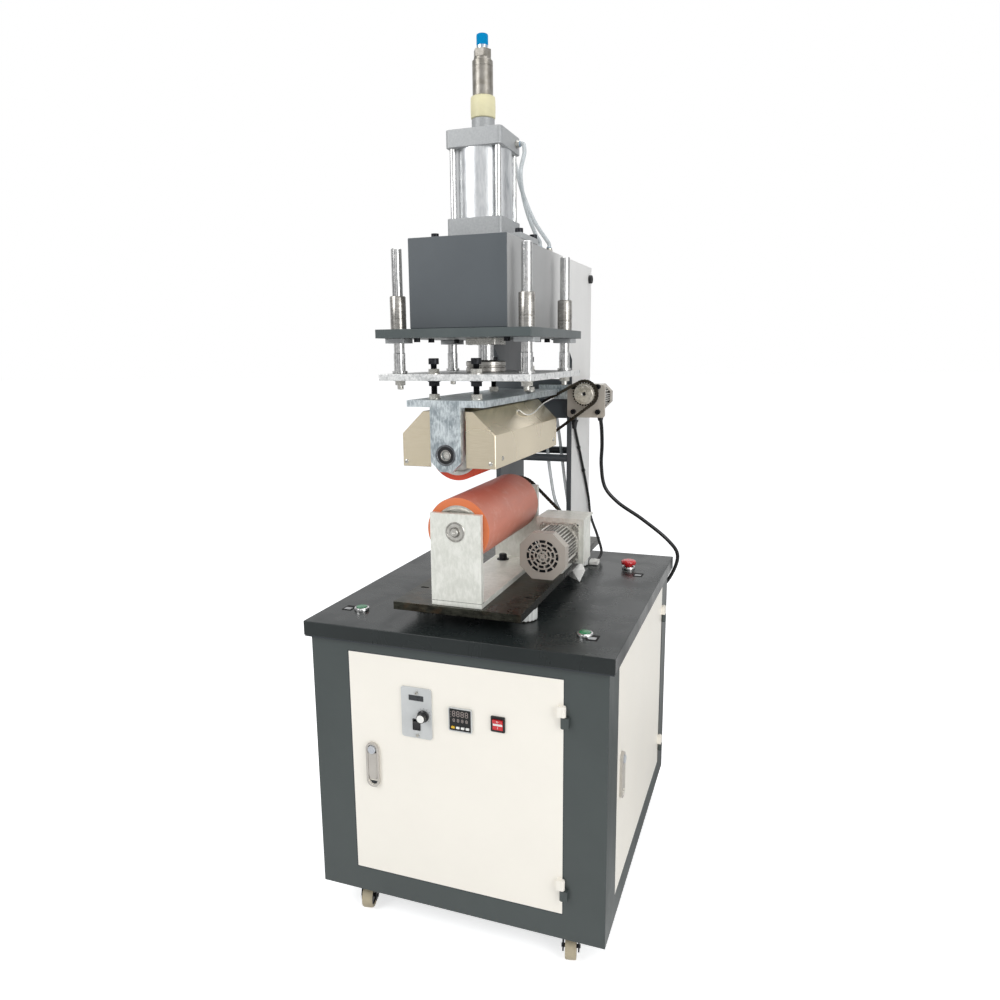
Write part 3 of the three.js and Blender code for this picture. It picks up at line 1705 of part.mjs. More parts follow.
// Everything that the piston rod moves, with the upper roller and its drive
function carriage(stand) {
  const drive = assembly(stand, [0, pressY, driveTop]);
  piece(drive, "drive_plate", drivePlate(), zincSteel);
  piece(drive, "piston_rod", pistonRod(), brightSteel);
  piece(drive, "stop_bumper", stopBumper(), creamRubber, [0, 0, bumperZ]);

  const carrier = assembly(stand, [rollerX, 0, carrierBottom]);
  piece(carrier, "carrier_plate", carrierPlate(), zincSteel);
  piece(carrier, "hood", hood(), stainless);

  const line = assembly(stand, [rollerX, 0, upperAxis]);
  const shaftFrontY = carrierFrontY + shaftSink;
  const hubY = rearHangerY + hangerThick + hubGap;
  roller(line, "upper_roller", upperRollerDiameter, upperRubber, shaftFrontY, hubY, upperTeeth, upperChainY);
  const upperChain = chain(upperTeeth, [upperMotorX - rollerX, upperMotorRise]);
  piece(line, "upper_chain", upperChain, chainSteel, [0, upperChainY, 0]);

  const motor = assembly(stand, [upperMotorX, upperChainY, upperMotorAxis]);
  const shaftEnd = upperPlateBehind + motorShaftDepth - overrun;
  piece(motor, "upper_gear_motor", upperGearMotor(), castAlloy);
  piece(motor, "upper_motor_sprocket", motorSprocket(shaftEnd), chainSteel);
}

// The lower roller in its bracket, with its drive
function lowerDrive(stand) {
  piece(stand, "lower_roller_bracket", lowerBracket(), zincSteel, [rollerX, 0, 0]);

  const line = assembly(stand, [rollerX, 0, lowerAxis]);
  const shaftFrontY = uprightFrontY - shaftProud;
  const hubY = uprightRearY + uprightThick + hubGap;
  roller(line, "lower_roller", lowerRollerDiameter, lowerRubber, shaftFrontY, hubY, lowerTeeth, lowerChainY);
  const lowerChain = chain(lowerTeeth, [lowerMotorX - rollerX, -lowerMotorFall]);
  piece(line, "lower_chain", lowerChain, chainSteel, [0, lowerChainY, 0]);

  const motor = assembly(stand, [lowerMotorX, lowerChainY, lowerMotorAxis]);
  const shaftEnd = lowerGearboxBack - motorShaftDepth + overrun;
  piece(motor, "lower_gear_motor", lowerGearMotor(), castAlloy);
  piece(motor, "lower_motor_sprocket", motorSprocket(shaftEnd), chainSteel);
}

// Cords, on their routes from the cabinet's top
function cords() {
  const frame = assembly(machine, [0, 0, cabinetTopZ]);
  const postCable = cord(postCablePoints, postCableDiameter);
  piece(frame, "upper_motor_cable", cord(motorCablePoints, motorCableDiameter), blackPlastic);
  piece(frame, "post_cable", join(postCable, plug()), blackPlastic);
  piece(frame, "air_tubes", cord(airTubePoints, airTubeDiameter), clearTube);
  piece(frame, "hanging_tubes", cord(hangingTubePoints, airTubeDiameter), clearTube);
}

// The plug on the post cable's end, lying on the table
function plug() {
  const [x, y, z] = postCablePoints.at(-1);
  return slab(x, z, plugWidth, plugHeight, y + overrun - plugLength, y + overrun);
}

cabinet();
casters();
table();
const stand = assembly(machine, [0, 0, baseTopZ]);
frameAndCylinder(stand);
carriage(stand);
lowerDrive(stand);
cords();

export default machine;
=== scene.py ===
# %% [markdown]
# Roller heat transfer machine
# This lesson dresses a packed mechanical model of a roller heat transfer press.
# The solids, joints and sizes come with the frame, so every piece here is in metres and goes
# where the solids are. Each step says what the piece is, how it could be made, and why this way.

import math

import bmesh
import bpy
from mathutils import Matrix, Vector


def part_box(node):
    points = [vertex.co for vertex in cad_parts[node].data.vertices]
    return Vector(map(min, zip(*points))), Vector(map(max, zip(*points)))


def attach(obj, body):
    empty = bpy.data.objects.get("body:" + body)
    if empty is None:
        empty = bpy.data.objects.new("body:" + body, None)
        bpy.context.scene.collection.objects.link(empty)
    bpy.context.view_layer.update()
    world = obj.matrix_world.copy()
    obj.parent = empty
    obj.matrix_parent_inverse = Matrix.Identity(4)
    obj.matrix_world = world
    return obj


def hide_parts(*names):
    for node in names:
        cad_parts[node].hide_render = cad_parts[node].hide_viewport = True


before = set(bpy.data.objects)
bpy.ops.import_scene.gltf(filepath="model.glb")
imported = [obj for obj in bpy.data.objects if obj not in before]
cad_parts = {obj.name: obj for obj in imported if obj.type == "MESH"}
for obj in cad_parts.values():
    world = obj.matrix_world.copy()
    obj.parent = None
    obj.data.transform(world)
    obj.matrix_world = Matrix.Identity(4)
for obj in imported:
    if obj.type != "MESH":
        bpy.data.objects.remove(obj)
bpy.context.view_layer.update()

# %% [markdown]
# Heights and places
# The machine is a stack: cabinet, table, base plate, lower roller, carriage, head, cylinder.
# The heights are read from the solids' boxes, so the pieces follow the frame, and they are kept in
# millimetres, the unit of a workshop drawing.

# %% Heights and places
MM = 0.001
SEAT = 0.3  # the gap that the solids keep between a piece and its seat


def low(node, axis):
    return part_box(node)[0][axis] / MM


def high(node, axis):
    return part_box(node)[1][axis] / MM


def middle(node, axis):
    return (low(node, axis) + high(node, axis)) / 2


def plan(node):
    """The left, front, right and rear ends of a solid."""
    return low(node, 0), low(node, 1), high(node, 0), high(node, 1)


FRONT_Y = -359.0
RIGHT_X = 306.0
CASTER_HEIGHT = 68
CABINET_TOP = CASTER_HEIGHT + 583
PLATE_THICK = 12
MOUNT_THICK = 16
TABLE_Z = high("table_top", 2)
BASE_Z = high("base_plate", 2)
HEAD_Z = high("column_left", 2)
DRIVE_Z = low("piston_rod", 2) - SEAT
DRIVE_LOW_Z = DRIVE_Z - PLATE_THICK
MOUNT_Z = DRIVE_Z + 66 + MOUNT_THICK
MOUNT_LOW_Z = MOUNT_Z - MOUNT_THICK
CARRIER_Z = high("carrier_plate", 2)
ROLLER_X = middle("upper_roller_sleeve", 0)
UPPER_AXIS = (ROLLER_X, middle("upper_roller_sleeve", 2))
LOWER_AXIS = (ROLLER_X, middle("lower_roller_sleeve", 2))
UPPER_MOTOR = (134.7, UPPER_AXIS[1] + 88.5)
LOWER_MOTOR = (122.0, LOWER_AXIS[1] - 95.0)
PRESS_Y = middle("stop_bumper", 1)
SIDES = (-1, 1)
print("table", round(TABLE_Z, 1), "base", round(BASE_Z, 1), "head", round(HEAD_Z, 1))

# %% [markdown]
# Camera
# The photograph was taken with a wide lens from the front right, a little above the rollers.
# The camera could be placed by eye. Here its place and its turn were worked out from the
# machine's straight edges, so its numbers are set as they are.

# %% Camera
camera = bpy.data.objects.new("camera", bpy.data.cameras.new("camera"))
bpy.context.scene.collection.objects.link(camera)
bpy.context.scene.camera = camera
camera.data.sensor_width = 36.0
camera.data.lens = 28.073
camera.location = (0.5688, -1.6405, 1.1786)
azimuth, pitch, roll = (math.radians(v) for v in (19.99, 10.62, -0.5))
camera.rotation_euler = (
    Matrix.Rotation(azimuth, 4, "Z")
    @ Matrix.Rotation(math.pi / 2 - pitch, 4, "X")
    @ Matrix.Rotation(roll, 4, "Z")
).to_euler()
camera.data.clip_start = 0.05
camera.data.clip_end = 40
print("camera", [round(v, 3) for v in camera.location])

# %% [markdown]
# Mesh makers
# Most pieces are plates, turned parts and bent sheets. Each could be a primitive with many
# modifiers, but a few small functions that write a mesh directly are easier to read: a turned
# profile, a pushed outline and a softened copy of a solid. All of them end at the origin, with
# their place in the mesh.

# %% Mesh makers


def linked(name, mesh):
    made = bpy.data.objects.new(name, mesh)
    bpy.context.scene.collection.objects.link(made)
    return made


SHARP_ANGLE = math.radians(34)
BEVEL_ANGLE = math.radians(36)


def shaded(mesh):
    mesh.shade_smooth()
    mesh.set_sharp_from_angle(angle=SHARP_ANGLE)


def settled(piece):
    """Applies the modifiers and leaves a plain mesh at the origin."""
    depsgraph = bpy.context.evaluated_depsgraph_get()
    mesh = bpy.data.meshes.new_from_object(piece.evaluated_get(depsgraph))
    piece.modifiers.clear()
    piece.data = mesh


def softened(piece, width, segments=2):
    """Rounds the hard edges a little, as any made edge is."""
    if width > 0:
        bevel = piece.modifiers.new("soft edges", "BEVEL")
        bevel.width = width * MM
        bevel.segments = segments
        bevel.limit_method = "ANGLE"
        bevel.angle_limit = BEVEL_ANGLE
        bevel.use_clamp_overlap = True
        bevel.miter_outer = "MITER_ARC"
        settled(piece)
    shaded(piece.data)
    if width > 0:
        flat = piece.modifiers.new("flat faces", "WEIGHTED_NORMAL")
        flat.keep_sharp = True
        flat.weight = 100
        settled(piece)
    return piece


def given(piece, material, body, nodes=()):
    """Gives a piece its material, its body and the solids that it stands for.
    """
    piece.data.materials.clear()
    piece.data.materials.append(material)
    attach(piece, body)
    if nodes:
        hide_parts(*nodes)
    return piece


UPRIGHT = Matrix.Identity(4)


def raised(z):
    """A matrix that lifts a shape by a height in millimetres."""
    return Matrix.Translation((0, 0, z * MM))


def turned_axis(axis, middle_point):
    """A matrix that takes +Z to an axis and the origin to a point in millimetres."""
    turns = {
        "z": UPRIGHT,
        "x": Matrix.Rotation(math.pi / 2, 4, "Y"),
        "y": Matrix.Rotation(-math.pi / 2, 4, "X"),
        "-y": Matrix.Rotation(math.pi / 2, 4, "X"),
        "-z": Matrix.Rotation(math.pi, 4, "X"),
    }
    return Matrix.Translation(Vector(middle_point) * MM) @ turns[axis]


def add_turned(bm, profile, matrix, segments):
    """Adds a turned shape: profile points are (radius, along), from the axis to the axis."""
    rings = []
    for radius, along in profile:
        if radius < 1e-6:
            rings.append([bm.verts.new((0, 0, along * MM))])
            continue
        ring = []
        for i in range(segments):
            turn = 2 * math.pi * i / segments
            ring.append(
                bm.verts.new((radius * MM * math.cos(turn), radius * MM * math.sin(turn), along * MM))
            )
        rings.append(ring)
    made = [v for ring in rings for v in ring]
    pairs = list(zip(rings, rings[1:]))
    if len(rings[0]) > 1 and len(rings[-1]) > 1:
        pairs.append((rings[-1], rings[0]))
    for one, two in pairs:
        if len(one) == 1 and len(two) == 1:
            continue
        for i in range(segments):
            j = (i + 1) % segments
            if len(one) == 1:
                bm.faces.new((one[0], two[j], two[i]))
            elif len(two) == 1:
                bm.faces.new((one[i], one[j], two[0]))
            else:
                bm.faces.new((one[i], one[j], two[j], two[i]))
    bmesh.ops.transform(bm, matrix=matrix, verts=made)


def add_pushed(bm, outline, holes, thickness, matrix):
    """Adds an outline with holes, in millimetres in X and Y, pushed along +Z."""
    edges = []
    for ring in [outline, *holes]:
        verts = [bm.verts.new((x * MM, y * MM, 0)) for x, y in ring]
        edges += [bm.edges.new((verts[i], verts[(i + 1) % len(verts)])) for i in range(len(verts))]
    if holes:
        faces = [
            f
            for f in bmesh.ops.triangle_fill(bm, edges=edges, use_beauty=True)["geom"]
            if isinstance(f, bmesh.types.BMFace)
        ]
    else:
        faces = [bm.faces.new([e.verts[0] for e in edges])]
    out = bmesh.ops.extrude_face_region(bm, geom=faces)["geom"]
    top = [v for v in out if isinstance(v, bmesh.types.BMVert)]
    bmesh.ops.translate(bm, vec=(0, 0, thickness * MM), verts=top)
    base = {v for f in faces for v in f.verts}
    bmesh.ops.transform(bm, matrix=matrix, verts=[*base, *top])


def add_block(bm, lo, hi):
    lo, hi = Vector(lo) * MM, Vector(hi) * MM
    for v in bmesh.ops.create_cube(bm, size=1)["verts"]:
        v.co = Vector((lo[i] + (v.co[i] + 0.5) * (hi[i] - lo[i]) for i in range(3)))


def add_prism(bm, one, two):
    """A solid between two outlines of as many points, in millimetres."""
    first = [bm.verts.new(Vector(p) * MM) for p in one]
    second = [bm.verts.new(Vector(p) * MM) for p in two]
    bm.faces.new(first)
    bm.faces.new(second[::-1])
    for i in range(len(first)):
        n = (i + 1) % len(first)
        bm.faces.new([first[i], second[i], second[n], first[n]])


def written(name, bm):
    mesh = bpy.data.meshes.new(name)
    bm.to_mesh(mesh)
    bm.free()
    return linked(name, mesh)


def joined(name, bm):
    """Joins doubled points, turns the faces outwards and writes the mesh."""
    bmesh.ops.remove_doubles(bm, verts=bm.verts, dist=1e-7)
    bmesh.ops.recalc_face_normals(bm, faces=bm.faces)
    return written(name, bm)


def piece_of(name, bm, bevel=0.0, segments=2):
    return softened(joined(name, bm), bevel, segments)


def lathe(name, profile, axis, at, segments):
    """A turned piece. at is the point in millimetres where along is zero."""
    bm = bmesh.new()
    add_turned(bm, profile, turned_axis(axis, at), segments)
    return piece_of(name, bm)


def bar_profile(diameter, start, end, chamfer=0.6):
    radius = diameter / 2
    return [
        (0, start), (radius - chamfer, start), (radius, start + chamfer),
        (radius, end - chamfer), (radius - chamfer, end), (0, end),
    ]


def ring_profile(outer, inner, start, end):
    return [(inner / 2, start), (outer / 2, start), (outer / 2, end), (inner / 2, end)]


def circle(x, y, radius, count=32):
    return [
        (x + radius * math.cos(2 * math.pi * i / count), y + radius * math.sin(2 * math.pi * i / count))
        for i in range(count)
    ]


def rounded(x0, y0, x1, y1, radius, count=6):
    """A rectangle with round corners, anticlockwise."""
    points = []
    left, right, front_end, rear_end = x0 + radius, x1 - radius, y0 + radius, y1 - radius
    corners = ((right, front_end, -90), (right, rear_end, 0), (left, rear_end, 90), (left, front_end, 180))
    for cx, cy, start in corners:
        for i in range(count + 1):
            turn = math.radians(start + 90 * i / count)
            points.append((cx + radius * math.cos(turn), cy + radius * math.sin(turn)))
    return points


def softened_solid(name, node, bevel, segments=2):
    """A merged copy of a solid with soft edges."""
    bm = bmesh.new()
    bm.from_mesh(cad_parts[node].data)
    bmesh.ops.remove_doubles(bm, verts=bm.verts, dist=2e-6)
    bmesh.ops.dissolve_limit(
        bm, angle_limit=math.radians(0.6), verts=bm.verts, edges=bm.edges, use_dissolve_boundaries=False
    )
    return softened(written(name, bm), bevel, segments)


print("mesh makers ready")

# %% [markdown]
# Sums of sockets
# A procedural material is a sum of textures. Wiring it by hand is slow to read, so one small class
# wraps a socket and lets Python's own signs add the maths nodes, and one method makes every other
# node from its type, its settings and the values of its sockets.

# %% Sums of sockets


class Socket:
    def __init__(self, finish, output):
        self.finish = finish
        self.output = output

    def sum(self, operation, other):
        return self.finish.node("ShaderNodeMath", {"operation": operation}, {0: self, 1: other})

    def __add__(self, other):
        return self.sum("ADD", other)

    def __mul__(self, other):
        return self.sum("MULTIPLY", other)


def add_node(tree, kind, settings, values):
    """A node with its settings. A value is a number, an object or the socket that feeds it."""
    made = tree.nodes.new(kind)
    for key, value in (settings or {}).items():
        setattr(made, key, value)
    for key, value in (values or {}).items():
        value = value.output if isinstance(value, Socket) else value
        if isinstance(value, bpy.types.NodeSocket):
            tree.links.new(value, made.inputs[key])
        else:
            made.inputs[key].default_value = value
    return made


class Finish:
    """A material under construction. Its slot, the name under which it could be exchanged, is not used."""

    def __init__(self, name, slot=None):
        self.material = bpy.data.materials.new(name)
        self.material.use_nodes = True
        self.tree = self.material.node_tree
        self.tree.nodes.clear()
        self.place = self.node("ShaderNodeTexCoord", output="Object")

    def node(self, kind, settings=None, values=None, output=0):
        made = add_node(self.tree, kind, settings, values)
        return Socket(self, made.outputs[output]) if made.outputs else None

    def stretched(self, x, y, z):
        """Object coordinates squeezed along an axis, for grain and streaks."""
        return self.node("ShaderNodeMapping", None, {"Vector": self.place, "Scale": (x, y, z)})

    def noise(self, scale, detail=3.0, roughness=0.55, place=None, distortion=0.0):
        values = {"Vector": place or self.place, "Scale": scale, "Detail": detail}
        values |= {"Roughness": roughness, "Distortion": distortion}
        return self.node("ShaderNodeTexNoise", None, values)

    def band(self, value, low_end=0.3, high_end=0.7):
        """0 below low_end, 1 above high_end, smooth between."""
        values = {"Value": value, "From Min": low_end, "From Max": high_end}
        return self.node("ShaderNodeMapRange", {"interpolation_type": "SMOOTHSTEP"}, values)

    def mix(self, share, first, second):
        values = {0: share, 6: first, 7: second}
        return self.node("ShaderNodeMix", {"data_type": "RGBA"}, values, 2)

    def bump(self, height, strength, distance=0.0005):
        values = {"Height": height, "Strength": strength, "Distance": distance}
        return self.node("ShaderNodeBump", None, values)

    def surface(self, **sockets):
        """The shader. Plain numbers are set on its own sockets."""
        values = {key.replace("_", " "): value for key, value in sockets.items()}
        values = {key.replace("Ior", "IOR"): value for key, value in values.items()}
        shader = self.node("ShaderNodeBsdfPrincipled", None, values)
        self.node("ShaderNodeOutputMaterial", None, {"Surface": shader})
        return self.material


def rgb(code):
    """A colour as written in a picture editor, turned to linear light."""
    parts = [int(code[i : i + 2], 16) / 255 for i in (0, 2, 4)]
    return (*[p / 12.92 if p <= 0.04045 else ((p + 0.055) / 1.055) ** 2.4 for p in parts], 1.0)


def shade(code, share):
    """The same colour, lighter or darker."""
    red, green, blue, alpha = rgb(code)
    return (min(red * share, 1), min(green * share, 1), min(blue * share, 1), alpha)


print("finish maker ready")

# %% [markdown]
# Painted sheet metal
# The cabinet, the posts and the head are powder coated steel. A flat colour looks like card, so
# the coat gets three things that a real one has: the fine orange peel of the powder, a slow drift
# of colour over a hand's width, and faint wiped smears that only change the gloss.

# %% Painted sheet metal


def painted(
    name, slot, code, roughness=0.42, peel=0.1, drift=0.07, grime=0.0, grime_code="2b2620", front_shade=None,
    specular=0.5,
):
    """Where a place along Y, in metres, and a colour are given, the coat is painted darker in front of that place,
    as painted shade.
    """
    make = Finish(name, slot)
    slow = make.noise(5.5, 4.0, 0.6)
    smear = make.noise(9.0, 5.0, 0.6, make.stretched(1.0, 1.0, 0.35), 0.6)
    colour = make.mix(make.band(slow), shade(code, 1 - drift), shade(code, 1 + drift))
    if grime:
        spots = make.band(make.noise(24.0, 8.0, 0.7, None, 0.4), 0.56, 0.74) * grime
        colour = make.mix(spots, colour, rgb(grime_code))
    # Painted shade: in front of a given place along Y the coat turns to a darker colour.
    if front_shade:
        along = make.node("ShaderNodeSeparateXYZ", None, {0: make.place}, 1)
        colour = make.mix(make.band(along, front_shade[0] + 0.09, front_shade[0] - 0.09), colour, rgb(front_shade[1]))
    rough = make.band(smear, 0.35, 0.75) * 0.14 + (roughness - 0.05)
    grain = make.noise(1400.0, 2.0, 0.5)
    return make.surface(
        Base_Color=colour, Roughness=rough, Normal=make.bump(grain, peel, 0.0002), Specular_IOR_Level=specular
    )


frame_paint = painted("frame_paint", "dark_paint", "444b4a", 0.42, 0.08, 0.05)
door_paint = painted("door_paint", "cream_paint", "f8f3e8", 0.4, 0.05, 0.01)
table_paint = painted("table_paint", "table_steel", "262b2b", 0.29, 0.07, 0.1, 0.08, "53524c", None, 0.36)
# The posts' side paint carries painted shade: a darker grey in front of Y 0.03 m.
post_paint = painted("post_paint", "light_paint", "e4e3e0", 0.42, 0.06, 0.03, 0.06, "8d8879", (0.03, "a3a3a2"))
head_paint = painted("head_paint", "dark_paint", "50565a", 0.36, 0.06, 0.06)
slab_paint = painted("slab_paint", "oiled_steel", "4c5454", 0.36, 0.06, 0.08, 0.15, "77756c")
motor_paint = painted("motor_paint", "motor_alloy", "bcb5aa", 0.38, 0.1, 0.06, 0.2, "6f665a")
cover_paint = painted("cover_paint", "motor_alloy", "b3aca2", 0.42, 0.08, 0.06, 0.1, "5f564b")
# Near-black paint: the own colour of the tie bar, the door gaskets and the rocker's well, and painted shade on the
# thin sheets under the table lip, in the latch recesses and behind the fan covers.
inside_paint = painted("inside_paint", "black_plastic", "30353a", 0.55)
print("paints", 9)

# %% [markdown]
# Ground, oiled and galvanised steel
# The plates of the press are bare. They could share one grey metal, but each came from another
# process: the base was ground and oiled and has brown marks, the carriage is zinc plated and
# mottled, the hood is brushed stainless. A long thin noise makes the tool marks, a wide one the
# stains, and both also change the gloss, which is what makes a mark look like metal.

# %% Ground, oiled and galvanised steel


def steel(
    name, slot, light, dark, marks, roughness=0.36, stain=0.0, stain_code="6a4d2c", metallic=0.9, blotch=18.0,
    bump=0.1, detail=7.0,
):
    """marks is how the tool marks are squeezed along X, Y and Z."""
    make = Finish(name, slot)
    grain = make.noise(60.0, 6.0, 0.65, make.stretched(*marks))
    cloud = make.noise(blotch, detail, 0.68, None, 0.8)
    share = make.band(grain * 0.5 + cloud * 0.5, 0.38, 0.62)
    colour = make.mix(share, rgb(dark), rgb(light))
    if stain:
        patch = make.band(make.noise(13.0, 6.0, 0.62, None, 1.2), 0.5, 0.72) * stain
        colour = make.mix(patch, colour, rgb(stain_code))
    rough = make.band(cloud) * 0.16 + (roughness - 0.08)
    return make.surface(
        Base_Color=colour, Metallic=metallic, Roughness=rough, Normal=make.bump(grain, bump, 0.0002)
    )


base_steel = steel(
    "base_steel", "oiled_steel", "48483f", "24241f", (1.0, 3.0, 3.0), 0.3, 0.4, "5c4630", 0.85, 11.0,
)
plate_steel = steel(
    "plate_steel", "zinc_steel", "f6f6f4", "c4c6c5", (4.0, 4.0, 4.0), 0.34, 0.15, "6a6a66", 0.35, 60.0,
)
zinc_steel = steel(
    "zinc_steel", "zinc_steel", "e2eaec", "96a1a7", (6.0, 6.0, 1.2), 0.38, 0.15, "4d565f", 0.7, 40.0,
)
hood_steel = steel(
    "hood_steel", "stainless", "f2e6cd", "e9dcc0", (1.0, 12.0, 12.0), 0.26, 0.0, "b8a888", 0.9, 3.0, 0.0, 1.0,
)
bracket_steel = steel(
    "bracket_steel", "zinc_steel", "f6f6ee", "e2e3d9", (2.5, 2.5, 1.0), 0.36, 0.1, "8d8878", 0.25, 16.0, 0.05,
)
dark_steel = steel(
    "dark_steel", "black_steel", "5a5852", "33322e", (2.0, 2.0, 4.0), 0.4, 0.25, "241e17", 0.85, 30.0,
)
flange_steel = steel("flange_steel", "zinc_steel", "8a8d90", "5d6064", (2.0, 8.0, 8.0), 0.38, 0.2, "3f3c36", 0.85)
print("steels", 7)

# %% [markdown]
# Turned and polished metal
# Rods, caps and rollers' cores were turned in a lathe, which leaves rings round the axis. Rings
# could be modelled, but they are hundredths of a millimetre deep, so a bump from a noise that is
# very long round the axis and very short along it is enough.

# %% Turned and polished metal


def turned_metal(name, slot, light, dark, squeeze, roughness=0.22, metallic=1.0, oil=0.0, bump=0.06):
    make = Finish(name, slot)
    rings = make.noise(90.0, 3.0, 0.5, make.stretched(*squeeze))
    cloud = make.noise(30.0, 5.0, 0.6, None, 0.4)
    colour = make.mix(make.band(rings * 0.6 + cloud * 0.4, 0.36, 0.64), rgb(dark), rgb(light))
    if oil:
        colour = make.mix(make.band(cloud, 0.52, 0.72) * oil, colour, rgb("2a251c"))
    rough = make.band(cloud) * 0.1 + (roughness - 0.04)
    return make.surface(
        Base_Color=colour, Metallic=metallic, Roughness=rough, Normal=make.bump(rings, bump, 0.0001)
    )


rod_chrome = turned_metal(
    "rod_chrome", "polished_steel", "e6e6e4", "c4c5c5", (3.0, 3.0, 2.0), 0.15, 1.0, 0.25, 0.004,
)
cap_alloy = turned_metal("cap_alloy", "alloy", "afb1b1", "a2a4a5", (3.0, 3.0, 3.0), 0.46, 0.25, 0.0, 0.02)
tube_alloy = turned_metal("tube_alloy", "alloy", "e0e2e3", "cdd0d2", (3.0, 3.0, 0.6), 0.32, 0.92, 0.0, 0.002)
nut_zinc = turned_metal("nut_zinc", "zinc_steel", "dedcd6", "b4b3ac", (4.0, 4.0, 4.0), 0.28, 1.0, 0.0, 0.02)
core_steel = turned_metal("core_steel", "zinc_steel", "eae8e2", "c9c7bf", (1.0, 16.0, 1.0), 0.3, 0.75, 0.1)
bushing_steel = turned_metal(
    "bushing_steel", "polished_steel", "bab8b3", "9b9893", (1.0, 1.0, 4.0), 0.27, 1.0, 0.15, 0.015,
)
sleeve_steel = turned_metal(
    "sleeve_steel", "polished_steel", "a5a19a", "88847c", (1.0, 1.0, 1.0), 0.38, 0.9, 0.1, 0.01,
)
hub_steel = turned_metal("hub_steel", "zinc_steel", "e6e3dc", "bcb8ae", (2.0, 12.0, 2.0), 0.28, 0.9, 0.15)
chain_steel = turned_metal("chain_steel", "chain_steel", "5b564c", "211e1a", (6.0, 6.0, 6.0), 0.38, 0.9, 0.55)
tooth_steel = turned_metal("tooth_steel", "chain_steel", "3a3630", "171512", (6.0, 2.0, 6.0), 0.36, 0.9, 0.6)
black_oxide = turned_metal("black_oxide", "black_steel", "35363a", "1b1c1e", (4.0, 4.0, 4.0), 0.38, 0.8)
fin_alloy = turned_metal("fin_alloy", "motor_alloy", "eceae4", "c6c3bc", (2.0, 6.0, 2.0), 0.28, 0.9, 0.15)
# The motor body between the fins: the fins' alloy painted darker as the shade between them, with oil marks.
root_alloy = turned_metal("root_alloy", "motor_alloy", "77746e", "4b4843", (2.0, 6.0, 2.0), 0.36, 0.9, 0.4)
print("metals", 13)

# %% [markdown]
# Rubber and plastic
# The rollers wear silicone sleeves: soft, slightly dusty and a little glossy where they run; on the
# lower sleeve the pale patches also stand in for a painted highlight. The knobs, keys and caps are
# moulded plastic. Both are dielectrics, so the difference lies in the grain and the coat: silicone
# has a waxy sheen over a rough base, a cap has a hard clear gloss.

# %% Rubber and plastic


def rubber(name, slot, code, roughness=0.48, dust_and_highlight=0.16, dust_and_highlight_code="e8b79a", sheen=0.1, cut_end=None):
    """cut_end is where along Y a clean cut end lies, in millimetres, and its colour."""
    make = Finish(name, slot)
    cloud = make.noise(14.0, 6.0, 0.62, make.stretched(1.0, 0.35, 1.0), 0.5)
    colour = make.mix(make.band(cloud), shade(code, 0.9), shade(code, 1.08))
    # Pale patches: dust, and on the lower sleeve also a painted highlight.
    dust_and_highlight_share = make.band(make.noise(46.0, 8.0, 0.72), 0.5, 0.78) * dust_and_highlight
    colour = make.mix(dust_and_highlight_share, colour, rgb(dust_and_highlight_code))
    if cut_end:
        along = make.node("ShaderNodeSeparateXYZ", None, {0: make.place}, 1)
        colour = make.mix(make.band(along, cut_end[0] * MM, (cut_end[0] - 0.6) * MM), colour, rgb(cut_end[1]))
    rough = make.band(cloud) * 0.14 + (roughness - 0.06)
    grain = make.noise(900.0, 2.0, 0.5)
    return make.surface(
        Base_Color=colour,
        Roughness=rough,
        Normal=make.bump(grain, 0.08, 0.0002),
        Coat_Weight=sheen,
        Coat_Roughness=0.3,
    )


def plastic(name, slot, code, roughness=0.35, grain=0.05, drift=0.04, coat=0.0, specular=0.5):
    make = Finish(name, slot)
    cloud = make.noise(35.0, 4.0, 0.6)
    colour = make.mix(make.band(cloud), shade(code, 1 - drift), shade(code, 1 + drift))
    rough = make.band(cloud) * 0.08 + (roughness - 0.03)
    fine = make.noise(2200.0, 2.0, 0.5)
    return make.surface(
        Base_Color=colour,
        Roughness=rough,
        Normal=make.bump(fine, grain, 0.0001),
        Coat_Weight=coat,
        Coat_Roughness=0.08,
        Specular_IOR_Level=specular,
    )


upper_rubber = rubber("upper_rubber", "orange_rubber", "d4492a", 0.42, 0.1, "e0906a")
# The lower sleeve's many pale pink patches are partly dust and partly a painted highlight.
lower_rubber = rubber("lower_rubber", "cream_rubber", "d08470", 0.46, 0.45, "e6bcab", 0.1, (-298.0, "e07a48"))
bumper_rubber = rubber("bumper_rubber", "cream_rubber", "e4ddb4", 0.55, 0.1, "cfc48f")
tread_rubber = rubber("tread_rubber", "tread", "b9ad92", 0.6, 0.3, "8d8370")
cable_rubber = rubber("cable_rubber", "cable_black", "121314", 0.3, 0.1, "4c4a45")
black_plastic = plastic("black_plastic", "black_plastic", "1a1b1d", 0.4, 0.1)
gloss_black = plastic("gloss_black", "black_plastic", "101113", 0.24, 0.02)
grey_plastic = plastic("grey_plastic", "grey_plastic", "bbb6ae", 0.36)
plate_plastic = plastic("plate_plastic", "grey_plastic", "c9cbca", 0.34)
rim_plastic = plastic("rim_plastic", "grey_plastic", "bfc2c6", 0.3)
